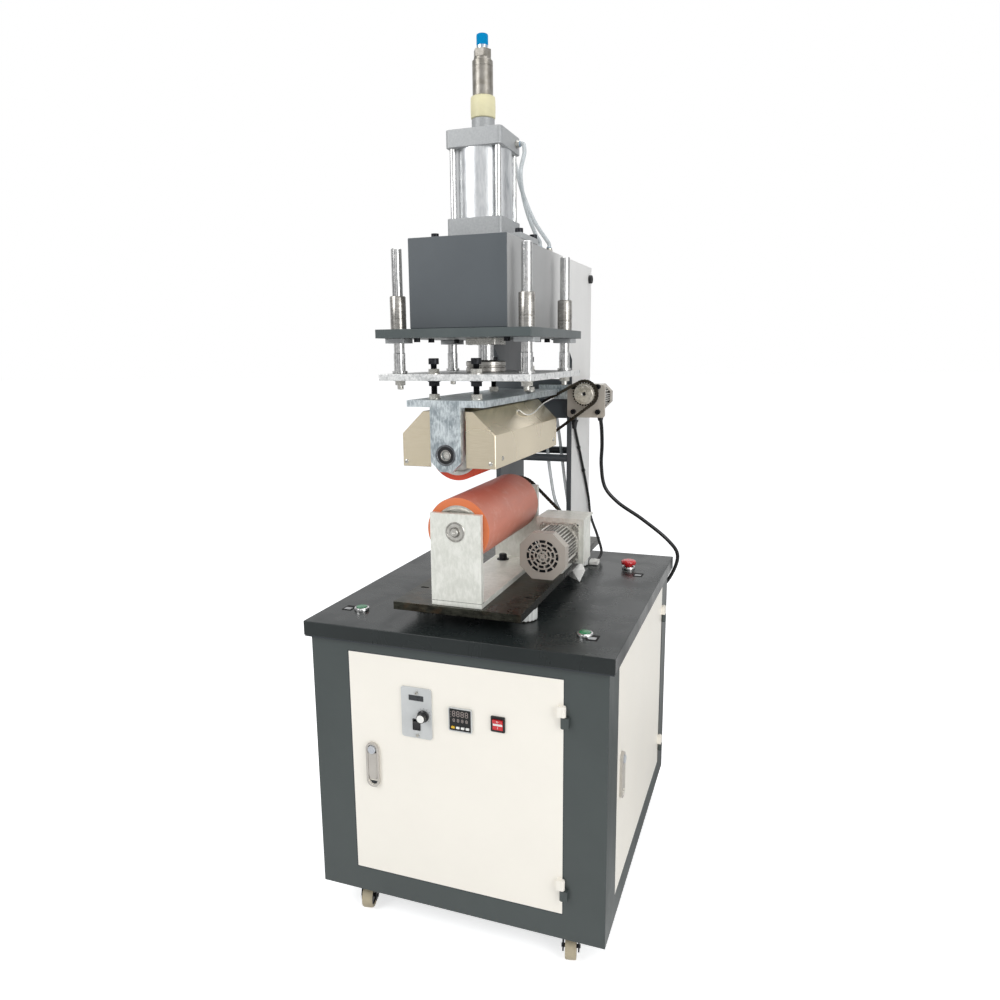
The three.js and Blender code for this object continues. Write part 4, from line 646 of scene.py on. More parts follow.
# Near black: the own colour of the label plates, and painted shade in the base plate's slots.
hole_black = plastic("hole_black", "black_plastic", "040405", 0.8, 0.02)
white_plastic = plastic("white_plastic", "white_plastic", "f2f1ec", 0.26)
foot_plastic = plastic("foot_plastic", "white_plastic", "eef0ec", 0.16, 0.02, 0.02, 0.6)
yellow_plastic = plastic("yellow_plastic", "yellow_plastic", "e8b92a", 0.28)
red_plastic = plastic("red_plastic", "red_plastic", "cf1f26", 0.22, 0.02, 0.04, 0.4)
green_plastic = plastic("green_plastic", "green_plastic", "1c7a4a", 0.22, 0.02, 0.04, 0.4)
blue_plastic = plastic("blue_plastic", "grey_plastic", "8fa6b8", 0.34)
blue_cap = plastic("blue_cap", "polished_steel", "0086be", 0.62, 0.04, 0.05, 0.0, 0.05)
print("rubbers", 5, "plastics", 13)

# %% [markdown]
# Clear tube and glass
# Air tubes are clear polyurethane. Real refraction is slow and noisy in a thin bent tube, so the
# wall is a pale gloss skin that lets part of the light through by its alpha, which also survives
# in an exported model.

# %% Clear tube and glass


def clear(name, slot, code, alpha, roughness=0.12):
    make = Finish(name, slot)
    cloud = make.noise(60.0, 3.0, 0.5)
    return make.surface(
        Base_Color=make.mix(make.band(cloud), shade(code, 0.94), shade(code, 1.05)),
        Roughness=make.band(cloud) * 0.06 + roughness,
        Alpha=make.band(cloud, 0.2, 0.8) * 0.12 + (alpha - 0.06),
        Specular_IOR_Level=0.6,
    )


clear_tube = clear("clear_tube", "clear_tube", "cfd6d8", 0.62)
display_glass = plastic("display_glass", "black_plastic", "0c0d0e", 0.3, 0.01, 0.04)
lcd_glass = plastic("lcd_glass", "black_plastic", "33363a", 0.3, 0.02)
print("clear finishes", 1, "glasses", 2)

# %% [markdown]
# Printed marks and dim digits
# The scale round the knob and the digits that are off are thin marks on their plates. They could
# be a picture, but the part carries none, so they are thin pieces with a finish of their own.

# %% Printed marks and dim digits
mark_ink = plastic("mark_ink", "grey_plastic", "3c4042", 0.5)
mark_white = plastic("mark_white", "white_plastic", "e9e9e6", 0.5)
digit_off = plastic("digit_off", "grey_plastic", "a0948f", 0.4)
print("marks", 3)

# %% [markdown]
# Floor and soft light
# A product picture has one plain pale floor that runs up behind the object, and large soft lamps.
# The background's brightness comes from the floor's and the world's own colour where only the
# camera sees it, so no extra light falls on the machine. Metal looks like card when all that it
# mirrors is white, so a reflection sees the same white room with large soft grey patches in it.

# %% Floor and soft light


class WorldFinish(Finish):
    """The same node maker, on the world."""

    def __init__(self, name):
        world = bpy.data.worlds.new(name)
        bpy.context.scene.world = world
        world.use_nodes = True
        self.tree = world.node_tree
        self.tree.nodes.clear()


def patched(finish, scale, dark, light):
    """Large soft patches of two greys."""
    return finish.mix(finish.band(finish.noise(scale, 1.0, 0.5), 0.36, 0.62), dark, light)


def by_ray(finish, plain, mirrored, seen):
    """One shader for diffuse rays, one for what metal mirrors and one for the camera."""
    camera_ray = finish.node("ShaderNodeLightPath", output="Is Camera Ray")
    glossy_ray = finish.node("ShaderNodeLightPath", output="Is Glossy Ray")
    unseen = finish.node("ShaderNodeMixShader", None, {0: glossy_ray, 1: plain, 2: mirrored})
    return finish.node("ShaderNodeMixShader", None, {0: camera_ray, 1: unseen, 2: seen})


WHITE = (1, 1, 1, 1)
sky = WorldFinish("studio")
sky_light = sky.node("ShaderNodeBackground", None, {"Color": (0.95, 0.97, 1.0, 1), "Strength": 0.52})
sky_back = sky.node("ShaderNodeBackground", None, {"Color": WHITE, "Strength": 1.0})
sky.place = sky.node("ShaderNodeTexCoord", output="Generated")
sky_room = sky.node("ShaderNodeBackground", None, {"Color": patched(sky, 1.7, (0.3, 0.3, 0.31, 1), WHITE)})
sky.node("ShaderNodeOutputWorld", None, {"Surface": by_ray(sky, sky_light, sky_room, sky_back)})

ground = Finish("floor")
ground_white = ground.node("ShaderNodeBsdfDiffuse", None, {"Color": (0.94, 0.94, 0.94, 1)})
ground_glow = ground.node("ShaderNodeEmission", None, {"Color": WHITE, "Strength": 0.62})
ground_sum = ground.node("ShaderNodeAddShader", None, {0: ground_white, 1: ground_glow})
ground_patch = patched(ground, 0.45, (0.3, 0.3, 0.3, 1), (0.95, 0.95, 0.95, 1))
ground_room = ground.node("ShaderNodeEmission", None, {"Color": ground_patch})
ground_seen = by_ray(ground, ground_white, ground_room, ground_sum)
ground.node("ShaderNodeOutputMaterial", None, {"Surface": ground_seen})

bm = bmesh.new()
bmesh.ops.create_grid(bm, x_segments=2, y_segments=2, size=60)
floor = piece_of("floor", bm)
floor.data.materials.append(ground.material)


def soft_lamp(name, place, target, size, power):
    lamp = bpy.data.objects.new(name, bpy.data.lights.new(name, "AREA"))
    lamp.data.shape = "RECTANGLE"
    lamp.data.size, lamp.data.size_y = size
    lamp.data.energy = power
    lamp.location = place
    lamp.rotation_euler = (Vector(target) - Vector(place)).to_track_quat("-Z", "Y").to_euler()
    bpy.context.scene.collection.objects.link(lamp)


soft_lamp("key lamp", (-1.9, -2.6, 2.7), (0, 0, 0.8), (1.8, 1.8), 45)
soft_lamp("fill lamp", (2.7, -1.7, 1.7), (0, 0, 0.8), (1.6, 2.0), 36)
soft_lamp("top lamp", (0.2, 0.4, 3.4), (0, 0, 0.6), (2.2, 2.2), 30)
bpy.context.scene.view_settings.view_transform = "Standard"
print("lamps", 3)

# %% [markdown]
# Trees that grow copies
# Screws, nuts, links, fins and slots repeat. Copying objects in a loop works, but a geometry node
# tree keeps the rule in one place, with named inputs for what changes. One small class builds a
# tree; one function runs it on a mesh and keeps the plain result, because copies that stay
# instances would be lost in an export.

# %% Trees that grow copies


class Growth:
    def __init__(self, name, inputs):
        self.group = bpy.data.node_groups.new(name, "GeometryNodeTree")
        face = self.group.interface
        face.new_socket("Geometry", in_out="INPUT", socket_type="NodeSocketGeometry")
        self.names = {
            label: face.new_socket(label, in_out="INPUT", socket_type=kind).identifier
            for label, kind in inputs.items()
        }
        face.new_socket("Geometry", in_out="OUTPUT", socket_type="NodeSocketGeometry")
        self.given = self.group.nodes.new("NodeGroupInput").outputs
        self.result = self.group.nodes.new("NodeGroupOutput").inputs["Geometry"]

    def __getitem__(self, label):
        return self.given[label]

    def node(self, kind, settings=None, values=None, output=0):
        return add_node(self.group, kind, settings, values).outputs[output]

    def placed(self, points, turn, **picked):
        """Copies of the given object on points."""
        copy = self.node("GeometryNodeObjectInfo", None, {"Object": self["Copy"]}, "Geometry")
        values = {"Points": points, "Instance": copy, "Rotation": turn, **picked}
        return self.node("GeometryNodeInstanceOnPoints", None, values)

    def end(self, geometry):
        """Realize Instances and Set Material close every tree."""
        solid = self.node("GeometryNodeRealizeInstances", None, {0: geometry})
        values = {"Geometry": solid, "Material": self["Material"]}
        self.group.links.new(self.node("GeometryNodeSetMaterial", None, values), self.result)


def grown(name, tree, values, points=None, edges=(), material=None):
    """Runs a tree on points, in millimetres, and returns the plain mesh it makes."""
    mesh = bpy.data.meshes.new(name)
    mesh.from_pydata([Vector(p) * MM for p in (points or [(0, 0, 0)])], edges, [])
    piece = linked(name, mesh)
    modifier = piece.modifiers.new(name, "NODES")
    modifier.node_group = tree.group
    for label, value in {**values, "Material": material}.items():
        modifier[tree.names[label]] = value
    settled(piece)
    shaded(piece.data)
    return piece


def template(name, bm):
    """A mesh to be copied. It is removed once every tree has run."""
    made = joined(name, bm)
    templates.append(made)
    return made


def turned_template(name, profile, segments):
    bm = bmesh.new()
    add_turned(bm, profile, UPRIGHT, segments)
    return template(name, bm)


templates = []

on_points = Growth(
    "copies on points", {"Copy": "NodeSocketObject", "Direction": "NodeSocketVector",
    "Material": "NodeSocketMaterial"}
)
copy_turn = on_points.node(
    "FunctionNodeAlignRotationToVector", {"axis": "Z"}, {"Vector": on_points["Direction"]}
)
on_points.end(on_points.placed(on_points["Geometry"], copy_turn))

round_axis = Growth(
    "copies round an axis",
    {
        "Copy": "NodeSocketObject", "Count": "NodeSocketInt", "Radius": "NodeSocketFloat",
        "Place": "NodeSocketVector", "Turn": "NodeSocketRotation", "Material": "NodeSocketMaterial",
    },
)
ring_mesh = round_axis.node(
    "GeometryNodeMeshCircle", None, {"Vertices": round_axis["Count"], "Radius": round_axis["Radius"]}
)
ring_place = round_axis.node("GeometryNodeInputPosition")
ring_turn = round_axis.node("FunctionNodeAlignRotationToVector", {"axis": "X"}, {"Vector": ring_place})
ring_values = {"Geometry": round_axis.placed(ring_mesh, ring_turn)}
ring_values |= {"Translation": round_axis["Place"], "Rotation": round_axis["Turn"]}
round_axis.end(round_axis.node("GeometryNodeTransform", None, ring_values))
print("trees", 2)


def copies(name, copy, direction, points, material, body):
    piece = grown(name, on_points, {"Copy": copy, "Direction": direction}, points, (), material)
    return given(piece, material, body)


# %% [markdown]
# Cords
# A cable runs from the upper motor round the back of the table into the cabinet, a second one
# comes down the post to a connector that lies on the table, and clear air tubes serve the
# cylinder and hang between the posts. Each follows the route of its solid: the same points,
# joined by the same kind of smooth curve, and a round section along it.

# %% Cords


def smooth_route(points, per_span=10):
    """A centripetal curve through points in millimetres, as a list of points in metres."""
    p = [Vector(q) * MM for q in points]
    p = [2 * p[0] - p[1], *p, 2 * p[-1] - p[-2]]
    route = []
    for a, b, c, d in zip(p, p[1:], p[2:], p[3:]):
        gaps = [max((v - u).length, 1e-6) ** 0.5 for u, v in ((a, b), (b, c), (c, d))]
        first = ((b - a) / gaps[0] - (c - a) / (gaps[0] + gaps[1]) + (c - b) / gaps[1]) * gaps[1]
        last = ((c - b) / gaps[1] - (d - b) / (gaps[1] + gaps[2]) + (d - c) / gaps[2]) * gaps[1]
        for i in range(per_span):
            t = i / per_span
            route.append(
                b
                + first * t
                + (-3 * b + 3 * c - 2 * first - last) * t**2
                + (2 * b - 2 * c + first + last) * t**3
            )
    return [*route, p[-2]]


def cord_piece(name, points, diameter, material, nodes, body="machine"):
    route = smooth_route(points)
    curve = bpy.data.curves.new(name, "CURVE")
    curve.dimensions = "3D"
    curve.bevel_depth = diameter * MM / 2
    curve.bevel_resolution = 5
    curve.use_fill_caps = True
    spline = curve.splines.new("POLY")
    spline.points.add(len(route) - 1)
    for target, place in zip(spline.points, route):
        target.co = (*place, 1)
    curve.materials.append(material)
    piece = linked(name, curve)
    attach(piece, body)
    if nodes:
        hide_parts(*nodes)
    length = sum((b - a).length for a, b in zip(route, route[1:]))
    print(name, round(length, 3), "m")
    return piece


def lifted(points):
    """Cord points are counted from the cabinet's top."""
    return [(x, y, z + CABINET_TOP) for x, y, z in points]


motor_cable_points = [
    (140, 275, 382.8), (140, 275, 372), (140.5, 288, 342), (137, 312, 297), (132, 330, 241),
    (141, 338, 183), (172, 346, 145), (236, 356, 101), (303, 366, 47), (326, 384, 9),
    (322, 392, -27), (296, 390, -77), (281, 380, -83), (280, 374, -83), (280, 367.3, -83),
]
post_cable_points = [
    (101, 169, 371), (101, 170, 359), (101, 231, 279), (101, 321, 158), (106, 328, 107),
    (131, 306, 57), (147, 280, 23), (143, 260, 10), (140, 244, 9.1),
]
air_tube_points = [
    (64.3, -124, 923), (70, -124, 923), (76, -132, 907), (74, -150, 865),
    (68, -104, 815), (71, -40, 765), (72, -18, 755), (72, -18, 745.2),
]
hanging_tube_points = [
    (22, 180.3, 417), (22, 190, 417), (23, 198, 397), (26, 194, 310), (38, 186, 229),
    (51, 184, 169), (66, 190, 139), (74, 214, 133), (68, 240, 149), (56, 252, 207),
    (48, 240, 297), (46, 200, 393), (46, 190, 417), (46, 180.3, 417),
]


def connector(name, x, y, z):
    """A white crimp housing at a lead's end. Its rear face is at y and it reaches to the front."""
    bm = bmesh.new()
    add_block(bm, (x - 11, y - 22, z - 5.5), (x + 11, y, z + 5.5))
    add_block(bm, (x - 9.5, y - 25, z - 4), (x + 9.5, y - 22, z + 4))
    add_block(bm, (x - 3.5, y - 18, z + 5.5), (x + 3.5, y - 4, z + 7.2))
    for side in SIDES:
        add_block(bm, (x + side * 11 - 0.8, y - 20, z - 1.2), (x + side * 11 + 0.8, y - 6, z + 1.2))
    return given(piece_of(name, bm, 0.5), white_plastic, "machine")


lead_connector = connector("lead_connector", 140, 244, 660.1)
cord_piece("motor_cable", lifted(motor_cable_points), 9.5, cable_rubber, ["upper_motor_cable"])
cord_piece(
    "post_lead", lifted(post_cable_points), 7.0, cable_rubber, ["post_cable"],
)
cord_piece("cylinder_tube", lifted(air_tube_points), 8.0, clear_tube, ["air_tubes"])
cord_piece("post_tube", lifted(hanging_tube_points), 8.0, clear_tube, ["hanging_tubes"])

# %% [markdown]
# Sheet metal of the cabinet
# The cabinet is folded sheet: a shell, a door frame, two doors and a table with turned-down edges.
# The solids already have the folds, so each piece is a merged copy of its solid with its edges
# softened by the radius that a folding machine leaves.

# %% Sheet metal of the cabinet
DOOR_LOW_Z = CASTER_HEIGHT + 54
DOOR_HIGH_Z = CASTER_HEIGHT + 531


def dressed(name, node, bevel, material, body, segments=2):
    """A softened copy of a solid, with its finish, in the solid's place."""
    return given(softened_solid(name, node, bevel, segments), material, body, [node])


dressed("cabinet", "cabinet_shell", 1.2, frame_paint, "machine")
dressed("cabinet_frame", "door_frame", 0.9, frame_paint, "machine")
dressed("front_panel", "front_door", 0.9, door_paint, "front_door")
dressed("side_panel", "side_door", 0.9, door_paint, "side_door")
dressed("table", "table_top", 2.4, table_paint, "machine", segments=3)
LIP_Z = low("table_top", 2)
# A dark strip just under the table's lip: a painted shadow line where the lip overhangs the cabinet.
bm = bmesh.new()
left, near, right, far = plan("table_top")
add_block(bm, (left + 2, near + 1.4, LIP_Z - 2.4), (right - 1.4, far - 2, LIP_Z + 1))
given(piece_of("table_gap", bm), inside_paint, "machine")
print("sheet pieces", 6, "lip", LIP_Z)

# %% [markdown]
# Hinges
# Each door hangs on two lift-off hinges: two barrels on one pin. A hinge could be one piece, but
# its upper half turns with the door, so the halves are turned pieces on two bodies, with a small
# crown on the pin.

# %% Hinges
hinge_spots = {
    "front_door": (223.0, FRONT_Y - 5.2),
    "side_door": (RIGHT_X + 5.2, 272.5),
}
for door, (x, y) in hinge_spots.items():
    for place, z in (("upper", DOOR_HIGH_Z - 70), ("lower", DOOR_LOW_Z + 55)):
        name = "%s_%s_hinge" % (door, place)
        foot = lathe(name + "_foot", bar_profile(10.2, -21.4, -0.1, 0.7), "z", (x, y, z), 32)
        given(foot, frame_paint, "machine")
        crown = [(0, 0.4), (4.5, 0.4), (5.1, 1.0), (5.1, 20.4), (4.4, 21.2), (2.6, 21.6), (2.4, 22.6), (0, 23.2)]
        given(lathe(name + "_top", crown, "z", (x, y, z), 32), door_paint, door)
print("hinges", 4)

# %% [markdown]
# Latches
# A latch is a long case with round ends, a lever that folds out of it and a round button that
# frees the lever. The case could be a swept profile, but a pushed outline with a hole in it gives
# the same wall, and its soft edge does the rest. The side door's latch is the front one turned
# a quarter round.

# %% Latches


def stadium(x, low_end, high_end, radius, count=14):
    arc = [math.pi * i / count for i in range(count + 1)]
    top = [(x + radius * math.cos(t), high_end - radius + radius * math.sin(t)) for t in arc]
    foot = [(x - radius * math.cos(t), low_end + radius - radius * math.sin(t)) for t in arc]
    return top + foot


def on_door(door, depth):
    """A matrix from an outline in (along, up) to a door's face, pushed outwards from depth."""
    if door == "front_door":
        return Matrix.Translation((0, (FRONT_Y + depth) * MM, 0)) @ Matrix.Rotation(math.pi / 2, 4, "X")
    turn = Matrix.Rotation(math.pi / 2, 4, "Z") @ Matrix.Rotation(math.pi / 2, 4, "X")
    return Matrix.Translation(((RIGHT_X - depth) * MM, 0, 0)) @ turn


def pushed(name, door, outline, holes, depth, thickness, bevel, material, body, nodes=()):
    bm = bmesh.new()
    add_pushed(bm, outline, holes, thickness, on_door(door, depth))
    return given(piece_of(name, bm, bevel), material, body, nodes)


door_left = low("front_door", 0)
door_spans = {"front_door": (door_left, -door_left), "side_door": (low("side_door", 1), 271.0)}
for door, (start, end) in door_spans.items():
    outer = rounded(start - 2.2, DOOR_LOW_Z - 2.2, end + 2.2, DOOR_HIGH_Z + 2.2, 1, 3)
    inner = rounded(start, DOOR_LOW_Z, end, DOOR_HIGH_Z, 0.4, 2)
    pushed(door + "_gasket", door, outer, [inner], 0.9, 0.8, 0, inside_paint, "machine")
LATCH_LOW_Z = (DOOR_LOW_Z + DOOR_HIGH_Z) / 2 + 2 - 48
latch_spots = {"front_door": -175.0, "side_door": -235.5}
for door, x in latch_spots.items():
    short = door.split("_")[0]
    low_end, high_end = LATCH_LOW_Z, LATCH_LOW_Z + 96
    button_z = high_end - 14
    wall = stadium(x, low_end + 4.1, high_end - 4.1, 9.9)
    pushed(
        short + "_latch_case", door, stadium(x, low_end - 0.3, high_end + 0.3, 14.3), [wall],
        -0.05, 6.3, 0.9, grey_plastic, door,
    )
    # A thin dark floor in the case's recess, round the lever and the button: painted shade.
    floor_hole = circle(x, button_z, 4.6, 20)
    hinge_hole = rounded(x - 9, low_end + 11, x + 9, low_end + 24, 1, 2)
    pushed(
        short + "_latch_floor", door, stadium(x, low_end + 3, high_end - 3, 10.6), [floor_hole, hinge_hole],
        -0.02, 0.25, 0, inside_paint, door,
    )
    dip = [
        (x + 9.1 * math.cos(t), button_z + 9.1 * math.sin(t))
        for t in [math.radians(a) for a in range(-45, -136, -9)]
    ]
    lever = [
        (x - 7.2, low_end + 16.6), (x + 7.2, low_end + 16.6), (x + 9.5, low_end + 26),
        (x + 9.5, low_end + 73), (x + 8.3, low_end + 75), *dip, (x - 8.3, low_end + 75),
        (x - 9.5, low_end + 73), (x - 9.5, low_end + 26),
    ]
    pushed(
        short + "_lever", door, lever, [], -0.6, 4.8, 0.7,
        grey_plastic, short + "_latch_lever", nodes=[short + "_latch_lever"],
    )
    axis = "-y" if door == "front_door" else "x"
    spot = (x, FRONT_Y, button_z) if door == "front_door" else (RIGHT_X, x, button_z)
    button = [(0, -6), (4, -6), (4, 3.4), (8.4, 3.4), (8.4, 8.2), (7.7, 9), (5.6, 9), (5.2, 8.5), (0, 8.5)]
    given(
        lathe(short + "_button", button, axis, spot, 40), rim_plastic,
        short + "_latch_button", nodes=[short + "_latch_button"],
    )
print("latches", len(latch_spots))

# %% [markdown]
# Casters
# A caster is a pressed fork under a ball race and a wheel with a rubber tread on a plastic hub.
# The fork is the softened solid; the wheel is two turned profiles, tread and hub, round the axle
# that its solid gives.

# %% Casters
for corner in ("front_left", "front_right", "rear_left", "rear_right"):
    fork, wheel = "caster_fork_" + corner, "caster_wheel_" + corner
    dressed(fork + "_skin", fork, 0.7, black_oxide, fork)
    at = tuple(middle(wheel, i) for i in range(3))
    axle = Matrix.Translation(Vector(at) * MM) @ Matrix.Rotation(math.radians(12), 4, "Z")
    axle = axle @ Matrix.Rotation(math.pi / 2, 4, "Y")
    tread = [(18.6, -9), (20.6, -11), (23.6, -11), (25, -8.6), (25, 8.6), (23.6, 11), (20.6, 11), (18.6, 9)]
    hub = [
        (4.3, -8.6), (7.5, -8.6), (8, -7), (17, -7), (18.8, -9.2), (18.8, 9.2), (17, 7), (8, 7), (7.5, 8.6),
        (4.3, 8.6),
    ]
    for name, profile, material, nodes in (
        (wheel + "_tread", tread, tread_rubber, [wheel]),
        (wheel + "_hub", hub, black_plastic, []),
    ):
        bm = bmesh.new()
        add_turned(bm, profile, axle, 56)
        given(piece_of(name, bm), material, wheel, nodes=nodes)
print("casters", 4)

# %% [markdown]
# Push buttons
# Two green start buttons and a red mushroom stand in the table. Each is turned: a polished bezel
# and a cap. The cap could be a squashed sphere; a short profile keeps the flat top and the small
# radius at its rim. The blank label plates behind them are bare aluminium.

# %% Push buttons
bezel = [
    (0, -20), (10.7, -20), (10.7, 0.2), (16.0, 0.2), (16.0, 4.0), (15.2, 5.8), (13.8, 6.6),
    (12.2, 6.6), (11.8, 5.6), (11.8, 2), (9.8, 2), (9.8, -6), (0, -6),
]
for name in ("start_button_left", "start_button_right", "stop_button"):
    at = (middle(name, 0), middle(name, 1), TABLE_Z + 0.2)
    given(
        lathe(name + "_bezel", bezel, "z", at, 56), rod_chrome, "machine", nodes=[name + "_base"]
    )
    if name == "stop_button":
        cap = [
            (0, 5.6), (9, 5.6), (9, 11), (15.2, 11), (17.4, 11.8), (18, 14), (18, 16.2),
            (17.4, 19), (15.2, 21), (10.4, 21.8), (0, 22.1),
        ]
        colour = red_plastic
    else:
        cap = [(0, 5.6), (11.3, 5.6), (11.3, 7.0), (10.7, 7.9), (9, 8.3), (0, 8.3)]
        colour = green_plastic
    given(lathe(name + "_cap", cap, "z", at, 48), colour, name, nodes=[name])
plates = {"left_plate": (-270, -269), "right_plate": (256, -279), "stop_plate": (262, 168)}
for name, (x, y) in plates.items():
    for part, half_x, half_y, back, top, material in (
        ("", 11, 14, 0, 0.7, hole_black), ("_face", 7.5, 6, 4, 1.0, cap_alloy)
    ):
        bm = bmesh.new()
        outline = rounded(x - half_x, y - back - half_y, x + half_x, y - back + half_y, 1.2, 4)
        add_pushed(bm, outline, [], top, raised(TABLE_Z + 0.05))
        given(piece_of(name + part, bm, 0.15, 1), material, "machine")
print("buttons", 3, "label plates", len(plates))

# %% [markdown]
# Controls on the front door
# A temperature controller with two rows of digits, a speed controller with a knob and a rocker,
# and a power rocker sit in the door. Their faces could be pictures, but the digits, keys and
# scale marks are thin pieces of their own, so the part carries no image. The digits are the
# seven-bar figure of any such display, all bars dim.

# %% Controls on the front door
CONTROL_Z = CABINET_TOP - 161
GLASS_FACE = -4.02


def front(name, outline, holes, depth, thickness, bevel, material, body="front_door", nodes=()):
    return pushed(name, "front_door", outline, holes, depth, thickness, bevel, material, body, nodes)


TX, TZ = 19.0, CONTROL_Z
frame_outline = rounded(TX - 24, TZ - 24, TX + 24, TZ + 24, 2.4, 5)
face_outline = rounded(TX - 22.2, TZ - 22.2, TX + 22.2, TZ + 22.2, 1.6, 5)
front(
    "temperature_bezel", frame_outline, [face_outline], -0.05, 5.4, 0.8,
    plate_plastic, nodes=["temperature_controller"],
)
key_holes = [rounded(TX + x - 3.8, TZ - 18.6, TX + x + 3.8, TZ - 13.4, 0.8, 3) for x in (-15, -5, 5, 15)]
front(
    "temperature_face", rounded(TX - 22.5, TZ - 22.5, TX + 22.5, TZ + 22.5, 1.6, 4), key_holes, -0.05, 4.0, 0,
    display_glass,
)
for i, x in enumerate((-15, -5, 5, 15)):
    key = rounded(TX + x - 3.5, TZ - 18.3, TX + x + 3.5, TZ - 13.8, 0.9, 4)
    colour = yellow_plastic if i == 0 else white_plastic
    node = "temperature_key_%d" % (i + 1)
    front("temperature_cap_%d" % (i + 1), key, [], -2.4, 3.0, 0.45, colour, node, nodes=[node])


def bar(x0, z0, x1, z1, half):
    """A bar of a digit: six-sided, pointed at its ends."""
    if abs(x1 - x0) > abs(z1 - z0):
        return [
            (x0, z0), (x0 + half, z0 - half), (x1 - half, z0 - half), (x1, z0), (x1 - half, z0 + half),
            (x0 + half, z0 + half),
        ]
    return [
        (x0, z0), (x0 + half, z0 + half), (x0 + half, z1 - half), (x0, z1), (x0 - half, z1 - half),
        (x0 - half, z0 + half),
    ]


def add_digit(bm, x, z, width, height, half, depth):
    """An eight made of seven bars. x and z are the middle of the digit."""
    left, right, foot, top, gap = x - width / 2, x + width / 2, z - height / 2, z + height / 2, half * 0.35
    across = [(left + gap, level, right - gap, level) for level in (foot, z, top)]
    upright = [
        (side, low_z + gap, side, low_z + height / 2 - gap) for side in (left, right) for low_z in (foot, z)
    ]
    for line in across + upright:
        add_pushed(bm, bar(*line, half), [], 0.12, on_door("front_door", depth))


bm = bmesh.new()
for row_z, width, height in ((TZ + 12.0, 5.0, 10.4), (TZ - 1.6, 3.6, 5.6)):
    for i in range(4):
        add_digit(bm, TX - 13.2 + 8.8 * i, row_z, width, height, 0.62, GLASS_FACE)
for i in range(3):
    add_pushed(bm, circle(TX - 19.4, TZ + 15 - 5 * i, 0.7, 12), [], 0.12, on_door("front_door", GLASS_FACE))
given(piece_of("temperature_digits", bm), digit_off, "front_door")
print("temperature controller", 8)

# %% [markdown]
# Speed controller
# A thin plate with a window, a knob on the right, a scale round it and a small black rocker. The
# scale could be eleven loose marks placed by hand; a loop turns one short mark round the knob's
# axis instead, from the lower left over the top to the lower right, and leaves the foot free.

# %% Speed controller
SX, SZ = -74.0, CONTROL_Z
KNOB = (-58.0, -364.3, 487.0)
speed_outline = rounded(SX - 32.5, SZ - 52.5, SX + 32.5, SZ + 52.5, 5.5, 6)
window = rounded(SX - 16, SZ + 25.2, SX + 16, SZ + 36.8, 1.2, 3)
rocker_hole = rounded(SX - 6.9, SZ - 34.4, SX + 6.9, SZ - 13.6, 1, 3)
front(
    "speed_plate", speed_outline, [window, rocker_hole, circle(KNOB[0], KNOB[2], 4.2, 24)],
    -0.05, 3.2, 0.6, plate_plastic, nodes=["speed_controller"],
)
front("speed_window", rounded(SX - 17, SZ + 24.2, SX + 17, SZ + 37.8, 1, 3), [], -0.3, 2.2, 0, lcd_glass)
front(
    "speed_rocker_rim", rounded(SX - 8.4, SZ - 35.8, SX + 8.4, SZ - 12.2, 1.4, 4),
    [rounded(SX - 6.6, SZ - 34.1, SX + 6.6, SZ - 13.9, 0.8, 3)], -3.2, 1.3, 0.3,
    black_plastic,
)
dressed("speed_rocker_cap", "speed_rocker", 0.6, gloss_black, "speed_rocker")
skirt = [
    (0, -5), (3, -5), (3, 0.3), (12, 0.3), (12, 2.6), (11.2, 3.4), (9.8, 4.2), (9.4, 12.8), (8.6, 13.6), (0, 13.6),
]
given(lathe("speed_knob_skirt", skirt, "-y", KNOB, 48), gloss_black, "speed_knob", nodes=["speed_knob"])
knob_cap = [(0, 13.7), (7.7, 13.7), (7.7, 14.5), (7, 15.2), (0, 15.4)]
given(lathe("speed_knob_cap", knob_cap, "-y", KNOB, 40), white_plastic, "speed_knob")
pointer = [(KNOB[0] + x, KNOB[2] + z) for x, z in ((-0.5, 8.4), (0.5, 8.4), (0.5, 9.2), (-0.5, 9.2))]
front("speed_knob_line", pointer, [], -5.3 - 13.6, 0.15, 0, mark_white, "speed_knob")
bm = bmesh.new()
for i in range(11):
    turn = math.radians(225 - 27 * i)
    out = Vector((math.cos(turn), math.sin(turn)))
    side = Vector((-out.y, out.x)) * 0.28
    centre = Vector((KNOB[0], KNOB[2]))
    ends = (centre + out * 13.4, centre + out * 15.6)
    mark = [ends[0] - side, ends[1] - side, ends[1] + side, ends[0] + side]
    add_pushed(bm, [(p.x, p.y) for p in mark], [], 0.1, on_door("front_door", -3.24))
given(piece_of("speed_scale", bm), mark_ink, "front_door")
bm = bmesh.new()
for i in range(4):
    add_digit(bm, SX - 9.6 + 6.4 * i, SZ + 31, 3.4, 6.6, 0.4, -2.5)
given(piece_of("speed_digits", bm), mark_ink, "front_door")
print("speed controller", 8)

# %% [markdown]
# Power rocker
# The rocker is a black frame round a red dished key with a white band. The key is the softened
# solid, since its tilt belongs to a joint; the band and the two marks lie on its faces.

# %% Power rocker
PX, PZ = 95.0, CONTROL_Z + 3
front(
    "power_frame", rounded(PX - 14, PZ - 15.5, PX + 14, PZ + 15.5, 1.6, 4),
    [rounded(PX - 10.3, PZ - 11.8, PX + 10.3, PZ + 11.8, 1, 4)], -0.05, 2.9, 0.6,
    black_plastic, nodes=["power_switch"],
)
front("power_well", rounded(PX - 10.8, PZ - 12.2, PX + 10.8, PZ + 12.2, 1, 3), [], -0.05, 0.3, 0, inside_paint)
dressed("power_key", "power_rocker", 0.5, red_plastic, "power_rocker")


